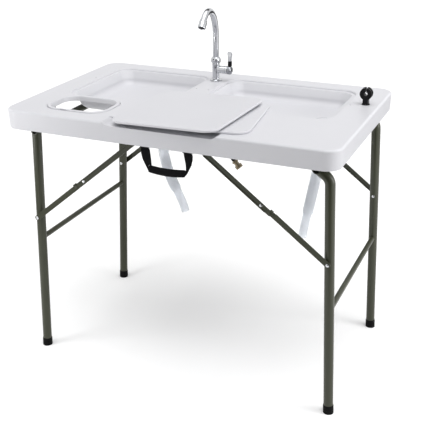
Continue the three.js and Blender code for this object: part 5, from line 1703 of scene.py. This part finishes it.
@dataclass
class Frame(Assembly):
    """One folding leg frame: its legs, feet, crossbar, pivot tube, clamps and braces."""

    side: Side
    splay: float = math.radians(2.55)
    leg: float = 14.0
    row_y: float = 261.0
    wall: float = 1.6
    sheet: float = 1.5
    link_half: float = 7.5
    link_end: float = 8.0
    stop_distance: float = 33.0
    above_pivot: float = 14.5
    crank_bend: float = 16.0
    crank_steps: int = 14
    foot_height: float = 6.0

    def __post_init__(self) -> None:
        """Works out the places that follow from the side."""
        left = self.side is Side.LEFT
        sign = self.side.value
        offset = 0.0 if left else 34.0
        self.pivot = Vector((sign * PIVOT_X, 0, PIVOT_Z))
        self.down = Vector((sign * math.sin(self.splay), 0, -math.cos(self.splay)))
        out = Vector((sign * math.cos(self.splay), 0, math.sin(self.splay)))
        self.line = self.pivot + out * offset
        self.length = self.line.z / math.cos(self.splay)
        self.rivet = self.line + self.down * (277.0 if left else 263.5)
        self.anchor = Vector((sign * (PIVOT_X - (341.0 if left else 317.0)), 0, PIVOT_Z + 15))
        reach = self.anchor - self.rivet
        self.knee = self.rivet + reach.normalized() * (197.5 if left else 206.0)
        self.bar = self.line + self.down * (352.0 if left else 412.0)

    def at(self, point: Vector, y: float) -> Vector:
        """Moves a point of the side view to a distance from the middle."""
        return Vector((point.x, y, point.z))

    def across(self, point: Vector, reach: float, radius: float, sides: int) -> Shape:
        """Makes a tube across the table, as far to the front as to the rear."""
        return swept([self.at(point, -reach), self.at(point, reach)], radius, sides, self.wall, UP)

    def pin(self, point: Vector, row: Row, profile: Sequence[Flat]) -> Shape:
        """Turns a rivet or a hole across the row."""
        return turned(profile, self.at(point, row.value * self.row_y), Vector((0, row.value, 0)), 28)

    def screws(self, x: float, y: float, z: float, spread: float) -> Shape:
        """Makes two screw heads that face down, side by side."""
        spots = [Vector((x + end * spread, y, z)) for end in (-1, 1)]
        return merged(*(turned(SCREW_HEAD, spot, -UP, 20) for spot in spots))

    def leg_path(self, y: float) -> list[Vector]:
        """Follows a leg's centre line: straight on the left, cranked on the right.

        Args:
            y: The leg's distance from the middle.

        Returns:
            The points of the line.
        """
        end = self.at(self.line + self.down * (self.length - self.foot_height - GAP), y)
        if self.side is Side.LEFT:
            return [self.at(self.pivot - self.down * self.above_pivot, y), end]
        bend = self.at(self.line + self.down * 27, y)
        pivot = self.at(self.pivot, y)
        crank = (bend - pivot).normalized()
        before, after = bend - crank * self.crank_bend, bend + self.down * self.crank_bend
        shares = [i / self.crank_steps for i in range(self.crank_steps + 1)]
        curve = [before * (1 - t) ** 2 + bend * 2 * t * (1 - t) + after * t**2 for t in shares]
        return [pivot - crank * self.above_pivot, *curve, end]

    def leg_shape(self, row: Row) -> Shape:
        """Makes a leg with its pivot eye and the boss that the brace's rivet goes through.

        Args:
            row: The row that it is on.

        Returns:
            The shape.
        """
        y = row.value * self.row_y
        tube = swept(self.leg_path(y), self.leg, 40, self.wall)
        eye = rod(self.at(self.pivot, y - 40), self.at(self.pivot, y + 40), 11.3, 40)
        post = self.pin(self.rivet, row, [(0, 12.4), (5, 12.4), (5, 18.9), (0, 18.9)])
        return combined(tube, (Cut.REMOVE, eye), (Cut.ADD, post))

    def leg_rivet(self, row: Row) -> Shape:
        """Makes the bright rivet through the leg, with a head on either side.

        Args:
            row: The row that it is on.

        Returns:
            The shape.
        """
        outer = [(0, 18.8), (3, 18.8), (3, 21), (5, 21), (4.8, 21.9), (3.6, 22.5), (0, 22.6)]
        inner = [(0, -15.6), (2.6, -15.5), (4.2, -14.9), (4.6, -14.1), (4.6, -13), (0, -13)]
        return merged(self.pin(self.rivet, row, outer), self.pin(self.rivet, row, inner))

    def foot_shape(self, row: Row) -> Shape:
        """Makes a ribbed rubber foot, flat where it stands.

        Args:
            row: The row that it is on.

        Returns:
            The shape.
        """
        y = row.value * self.row_y
        floor = self.at(self.line + self.down * self.length, y)
        profile = [(0, -6), (13.8, -6), (14.8, -5)]
        for i in range(4):
            z = -3.5 + i * 7.4
            profile += [(15.4, z), (15.4, z + 4.6), (14.75, z + 5.2), (14.75, z + 6.6)]
        profile += [(14.75, 26.4), (14.3, 27), (14.3, self.foot_height), (0, self.foot_height)]
        ground = brick((floor.x - 30, y - 30, -30), (floor.x + 30, y + 30, 0))
        return combined(turned(profile, floor, -self.down, 40), (Cut.REMOVE, ground))

    def laid(
        self, start: Vector, end: Vector, row: Row, outline: Sequence[Flat], span: Flat, edge: float,
    ) -> Shape:
        """Extrudes an outline that is drawn along a line of the side view.

        Args:
            start: The line's start.
            end: Its end.
            row: The row that the shape is on.
            outline: Distance along the line and above it of each corner.
            span: Its lower and upper distance from the leg.
            edge: Radius of the edges.

        Returns:
            The shape.
        """
        turn = math.atan2(end.z - start.z, end.x - start.x)
        cos, sin = math.cos(turn), math.sin(turn)
        placed = [(start.x + x * cos - z * sin, start.z + x * sin + z * cos) for x, z in outline]
        low, high = sorted(row.value * (self.row_y + self.leg + away) for away in span)
        return plate(placed, low, high, edge)

    def link(self, start: Vector, end: Vector, row: Row, web: Flat, flange: Flat) -> list[Shape]:
        """Makes a channel link's web and flanges.

        Args:
            start: One end in the side view.
            end: The other.
            row: The row that it is on.
            web: Lower and upper distance of the web from the leg.
            flange: The same for the flanges.

        Returns:
            The web and both flanges.
        """
        length = (end - start).length
        quarter = math.pi / 2
        stadium = [
            *arc((0, 0), self.link_end, quarter, 3 * quarter, 16),
            *arc((length, 0), self.link_end, -quarter, quarter, 16),
        ]
        shapes = [self.laid(start, end, row, stadium, web, 0.3)]
        for low, below, above in ((self.link_half - self.sheet, 12.5, 14), (-self.link_half, 14, 12.5)):
            high = low + self.sheet
            strip = [(below, low), (length - below, low), (length - above, high), (above, high)]
            shapes.append(self.laid(start, end, row, strip, flange, 0.3))
        return shapes

    def lower_link(self, row: Row) -> Shape:
        """Makes the lower link with the knee rivet's inner head.

        Args:
            row: The row that it is on.

        Returns:
            The shape.
        """
        web, *flanges = self.link(self.rivet, self.knee, row, (5.2, 6.7), (2.2, 6.7))
        hole = self.pin(self.rivet, row, [(0, 14), (3.35, 14), (3.35, 30), (0, 30)])
        head = self.pin(self.knee, row, [(0, 17.6), (3.8, 17.7), (4.8, 18.4), (5, 19.2), (5, 20), (0, 20)])
        added = ((Cut.ADD, flange) for flange in flanges)
        return combined(web, *added, (Cut.REMOVE, hole), (Cut.ADD, head))

    def upper_link(self, row: Row) -> Shape:
        """Makes the upper link with the lug that stops the knee.

        Args:
            row: The row that it is on.

        Returns:
            The shape.
        """
        web, *flanges = self.link(self.anchor, self.knee, row, (10, 11.5), (10, 14.5))
        holes = [
            self.pin(place, row, [(0, 20), (radius, 20), (radius, 30), (0, 30)])
            for place, radius in ((self.anchor, 3.35), (self.knee, 3.3))
        ]
        end, sign = (self.knee - self.anchor).length, self.side.value
        outline = [(end - 6, sign * 6), (end + 6, sign * 6), (end + 4.5, sign * 11), (end - 4.5, sign * 11)]
        lug = self.laid(self.anchor, self.knee, row, outline, (7.0, 14.5), 0.5)
        added = ((Cut.ADD, flange) for flange in flanges)
        return combined(web, *added, (Cut.REMOVE, merged(*holes)), (Cut.ADD, lug))

    def stop_rivet(self, row: Row) -> Shape:
        """Makes the bright rivet a little way up the upper link.

        Args:
            row: The row that it is on.

        Returns:
            The shape.
        """
        along = (self.anchor - self.knee).normalized()
        profile = [(0, 25.2), (4.4, 25.2), (4.4, 26), (3.6, 26.9), (1.6, 27.3), (0, 27.4)]
        return self.pin(self.knee + along * self.stop_distance, row, profile)

    def knee_rivet(self, row: Row) -> Shape:
        """Makes the knee's spacer, pin and outer head."""
        return self.pin(self.knee, row, [(0, 21), (5, 21), (5, 23.7), (3, 23.7), *RIVET_HEAD])

    def bracket(self, row: Row) -> Shape:
        """Makes the bracket under the deck with the upper link's rivet.

        Args:
            row: The row that it is on.

        Returns:
            The shape.
        """
        sign = row.value
        inner = self.row_y + self.leg + 7.7
        high = TOP_HEIGHT - DECK_WALL - GAP - (10 if row is Row.FRONT else 0)
        x, z = self.anchor.x, self.anchor.z
        outline = [(x - 12, high), *arc((x, z), 8, math.pi, 2 * math.pi, 20), (x + 12, high)]
        ear = plate(outline, *sorted((sign * inner, sign * (inner + 2))), 0.4)
        y_low, y_high = sorted((sign * inner, sign * (inner + 22)))
        flange = brick((x - 12, y_low, high - 2), (x + 12, y_high, high), 0.4)
        rivet = self.pin(self.anchor, row, [(0, 23), (3, 23), *RIVET_HEAD])
        screws = self.screws(x, sign * (inner + 15), high - 2, 6)
        return combined(ear, (Cut.ADD, flange), (Cut.ADD, rivet), (Cut.ADD, screws))

    def clamp(self, row: Row) -> Shape:
        """Makes the strap that holds the pivot tube in its boss.

        Args:
            row: The row that it is on.

        Returns:
            The shape.
        """
        y = row.value * BOSS_Y
        x, z = self.pivot.x, self.pivot.z
        high, low = z - GAP, z - GAP - 2.5
        outline = [
            (x - BOSS_HALF, high), (x - BOSS_HALF, low), (x - 14.6, low), (x - 13.7, low - 0.8),
            *arc((x, z), 13.85, math.radians(197), math.radians(343), 28),
            (x + 13.7, low - 0.8), (x + 14.6, low), (x + BOSS_HALF, low), (x + BOSS_HALF, high),
            *arc((x, z), PIVOT_BORE, 0, -math.pi, 32),
        ]
        strap = plate(outline, y - 11, y + 11, 0.3)
        return combined(strap, (Cut.ADD, self.screws(x, y, low, 19)))

    def build(self) -> None:
        """Makes the frame and its braces."""
        place, word = self.shop.place, self.side.word
        frame, upper, lower = (f"{word}_{name}" for name in ("leg_frame", "upper_braces", "lower_braces"))
        tube = self.across(self.pivot, self.row_y + 13.2, 11, 40)
        place(tube, f"{word} pivot tube", OLIVE_COAT, frame)
        foot = self.line + self.down * self.length
        legs = [rod(self.at(self.line, y), self.at(foot, y), 14.15, 40) for y in (-self.row_y, self.row_y)]
        bar = combined(self.across(self.bar, self.row_y, 8, 32), (Cut.REMOVE, merged(*legs)))
        place(bar, f"{word} crossbar", OLIVE_COAT, frame)
        for row in Row:
            pieces = (
                (self.leg_shape, "leg", OLIVE_COAT, frame, "leg"),
                (self.leg_rivet, "leg rivet", BRIGHT_ZINC, frame, "leg"),
                (self.foot_shape, "foot", BLACK_RUBBER, frame, "foot"),
                (self.clamp, "pivot clamp", BRIGHT_ZINC, TOP_BODY, "pivot_clamp"),
                (self.bracket, "brace bracket", BRIGHT_ZINC, TOP_BODY, "brace_bracket"),
                (self.upper_link, "upper link", OLIVE_COAT, upper, "upper_brace_link"),
                (self.lower_link, "lower link", OLIVE_COAT, lower, "lower_brace_link"),
                (self.stop_rivet, "stop rivet", BRIGHT_ZINC, upper, "upper_brace_link"),
                (self.knee_rivet, "knee rivet", OLIVE_COAT, upper, "knee_rivet"),
            )
            for make, name, finish, body, node in pieces:
                title = f"{word} {row.word} {name}"
                place(make(row), title, finish, body, f"{word}_{row.word}_{node}", sharp=35)


@dataclass
class Studio(Assembly):
    """The white floor, the soft lights, the dark cards that shine in the chrome, and the camera."""

    eye: Point = (974.8, -2221.8, 1485.8)
    aim: Point = (444.0, -973.2, 898.5)
    roll: float = math.radians(-0.19)
    lens: float = 69.75
    sensor: float = 36.0
    floor_half: float = 14.0
    floor_bounce: float = 0.56
    floor_glow: float = 0.035
    sky_level: float = 0.4
    overhead_level: float = 2.2
    overhead_spread: float = math.radians(64)
    overhead_turn: Point = (math.radians(10), math.radians(8), 0)
    lamps: tuple = (
        ("right", (2.6, 0.1, 1.2), 1.2, 27, (0.5, 0, 0.8)),
        ("left front", (-1.15, -0.95, 0.62), 0.5, 6, (-0.55, -0.32, 0.78)),
    )
    cards: tuple = (
        ("card behind", (-0.3, 1.35, 0.45), 2.9, 0.9),
        ("card front", (0.57, -1.26, 0.6), 1.36, 1.2),
        ("card left", (-1.2, -0.9, 0.75), 0.9, 1.5),
        ("card above", (-0.3, 1.3, 2.6), 2.6, 1.3),
    )

    def seen_directly(self, wiring: Wiring) -> Socket:
        """Tells rays of the camera, of shine and of clear matter from those of soft light.

        Args:
            wiring: The wiring of a material or world.

        Returns:
            A socket that is 1 on the former and 0 on the latter.
        """
        rays = wiring.add("LightPath", {}).outputs
        either = wiring.maths("MAXIMUM", rays["Is Camera Ray"], rays["Is Glossy Ray"])
        return wiring.maths("MAXIMUM", either, rays["Is Transmission Ray"])

    def sheet(
        self, name: str, half: float, matrix: Matrix, material: bpy.types.Material,
    ) -> bpy.types.Object:
        """Lays or stands a flat sheet of the studio.

        Args:
            name: Its name.
            half: Half its side, in metres, before it is placed.
            matrix: Its place and size.
            material: Its material.

        Returns:
            The sheet.
        """
        mesh = bmesh.new()
        bmesh.ops.create_grid(mesh, x_segments=1, y_segments=1, size=half)
        made = mesh_object(moved(mesh, matrix), name)
        made.data.materials.append(material)
        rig.stage(made)
        return made

    def floor(self) -> None:
        """Lays a large white floor that throws back a little less soft light than it shows."""
        white, bounce = (1, 1, 1, 1), (*([self.floor_bounce] * 3), 1)
        values = {"Roughness": 0.9, "Specular IOR Level": 0.1, "Emission Color": white}
        material, wiring, shader = new_material("White floor", values)
        seen = self.seen_directly(wiring)
        light = {
            "Base Color": wiring.blend(seen, bounce, white),
            "Emission Strength": wiring.maths("MULTIPLY", seen, self.floor_glow),
        }
        wiring.feed(shader, light)
        self.sheet("floor", self.floor_half, Matrix(), material)

    def sky(self) -> None:
        """Lights the scene evenly and shows white to the camera and to shiny surfaces."""
        world = bpy.data.worlds.new("Soft room")
        bpy.context.scene.world = world
        world.use_nodes = True
        wiring = Wiring(world.node_tree)
        level = {"Value": self.seen_directly(wiring), "To Min": self.sky_level, "To Max": 1.0}
        strength = wiring.add("MapRange", level).outputs["Result"]
        wiring.feed(world.node_tree.nodes["Background"], {"Color": (1, 1, 1, 1), "Strength": strength})

    def overhead(self) -> None:
        """Hangs one very soft light over the table."""
        data = bpy.data.lights.new("overhead", "SUN")
        data.energy = self.overhead_level
        data.angle = self.overhead_spread
        scene_object("overhead", data).rotation_euler = self.overhead_turn

    def lamp(self, name: str, place: Point, size: float, power: float, aim: Point) -> None:
        """Hangs one square lamp.

        Args:
            name: The lamp's name.
            place: Where it is, in metres.
            size: Its side.
            power: Its power.
            aim: The point that it faces.
        """
        data = bpy.data.lights.new(name, "AREA")
        data.size = size
        data.energy = power
        made = scene_object(name, data)
        made.location = place
        made.rotation_euler = (Vector(aim) - Vector(place)).to_track_quat("-Z", "Y").to_euler()

    def card(self, name: str, place: Point, width: float, height: float) -> None:
        """Stands a dark card that only shiny surfaces show.

        Args:
            name: The card's name.
            place: Its centre, in metres.
            width: Its width, across the line to the table.
            height: Its height.
        """
        dark = bpy.data.materials.get("Dark card")
        if not dark:
            dark = new_material("Dark card", {"Base Color": (0.01, 0.01, 0.01, 1)})[0]
        turn = (-Vector((place[0], place[1], 0))).to_track_quat("Z", "Y").to_matrix().to_4x4()
        size = Matrix.Diagonal((width, height, 1, 1))
        made = self.sheet(name, 0.5, Matrix.Translation(place) @ turn @ size, dark)
        made.visible_camera = False
        made.visible_diffuse = False
        made.visible_shadow = False
        made.visible_transmission = False

    def camera(self) -> None:
        """Sets the camera at the photograph's view."""
        data = bpy.data.cameras.new("view")
        data.sensor_width = self.sensor
        data.lens = self.lens
        data.clip_end = 60
        made = scene_object("view", data)
        eye, aim = Vector(self.shop.point(self.eye)), Vector(self.shop.point(self.aim))
        turn = (aim - eye).to_track_quat("-Z", "Y").to_matrix().to_4x4()
        made.matrix_world = Matrix.Translation(eye) @ turn @ Matrix.Rotation(self.roll, 4, "Z")
        bpy.context.scene.camera = made

    def build(self) -> None:
        """Sets up the studio."""
        bpy.context.scene.view_settings.view_transform = "Standard"
        self.floor()
        self.sky()
        self.overhead()
        for lamp in self.lamps:
            self.lamp(*lamp)
        for card in self.cards:
            self.card(*card)
        self.camera()


LEFT_HOSE: tuple[Point, ...] = (
    (-168, 25, 737.7), (-168, 25, 712), (-166.8, 25, 689), (-163, 25, 662), (-159, 25, 634),
    (-154.5, 25, 606), (-149, 25.5, 580), (-141.5, 26, 554), (-131.5, 27, 528), (-119.5, 28, 503),
    (-107, 29, 478), (-95.5, 30, 452), (-86, 31, 424),
)
RIGHT_HOSE: tuple[Point, ...] = (
    (347, 75, 737.7), (347, 75, 712), (345.8, 75, 689), (342.5, 75, 662), (339, 75, 634),
    (335, 75, 606), (330.5, 75, 578), (325.5, 75, 550), (320.5, 75, 522), (315.5, 75, 494),
    (310.5, 75, 466), (305.5, 75, 438), (301, 75, 410), (297, 75, 382),
)
SUPPLY_HOSE: tuple[Point, ...] = (
    (-56.5, 216, 766.4), (-56.5, 216, 745), (-55.8, 216, 722), (-54, 216, 699), (-50.5, 216, 677),
    (-45, 216, 655), (-39.5, 216, 634), (-32.5, 216, 613), (-24, 216, 594), (-14, 216, 577),
    (-2.5, 216, 562), (9, 216, 549),
)


def as_list(bounds: Sequence[Vector]) -> list[list[float]]:
    """Gives a box as plain lists of numbers."""
    return [[float(value) for value in corner] for corner in bounds]


def main() -> None:
    """Builds the table, its studio and the note of its sizes."""
    logging.basicConfig(level=logging.INFO, format="%(message)s")
    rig.load()
    solids = as_list(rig.bounds())
    low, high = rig.box("table_top")
    middle = (Vector(low) + Vector(high)) / 2
    shop = Shop(Vector((middle.x, middle.y, 0)))
    Studio(shop).build()
    faucet = Faucet(shop)
    DrainHose(shop, Side.LEFT, LEFT_HOSE).build()
    DrainHose(shop, Side.RIGHT, RIGHT_HOSE).build()
    SupplyLine(shop, SUPPLY_HOSE, faucet).build()
    top = TableTop(shop)
    top.build()
    ScrapRing(shop, top).build()
    LooseBoards(shop).build()
    for side, (x, y) in zip(Side, top.drains):
        Drain(shop, side, x, y).build()
    faucet.build()
    SprayerClip(shop).build()
    CarryHandle(shop).build()
    for side in Side:
        Frame(shop, side).build()
    dressed = as_list(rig.bounds())
    with open(SIZE_FILE, "w", encoding="utf-8") as out:
        json.dump({"solids": solids, "dressed": dressed}, out)


if __name__ == "__main__":
    main()
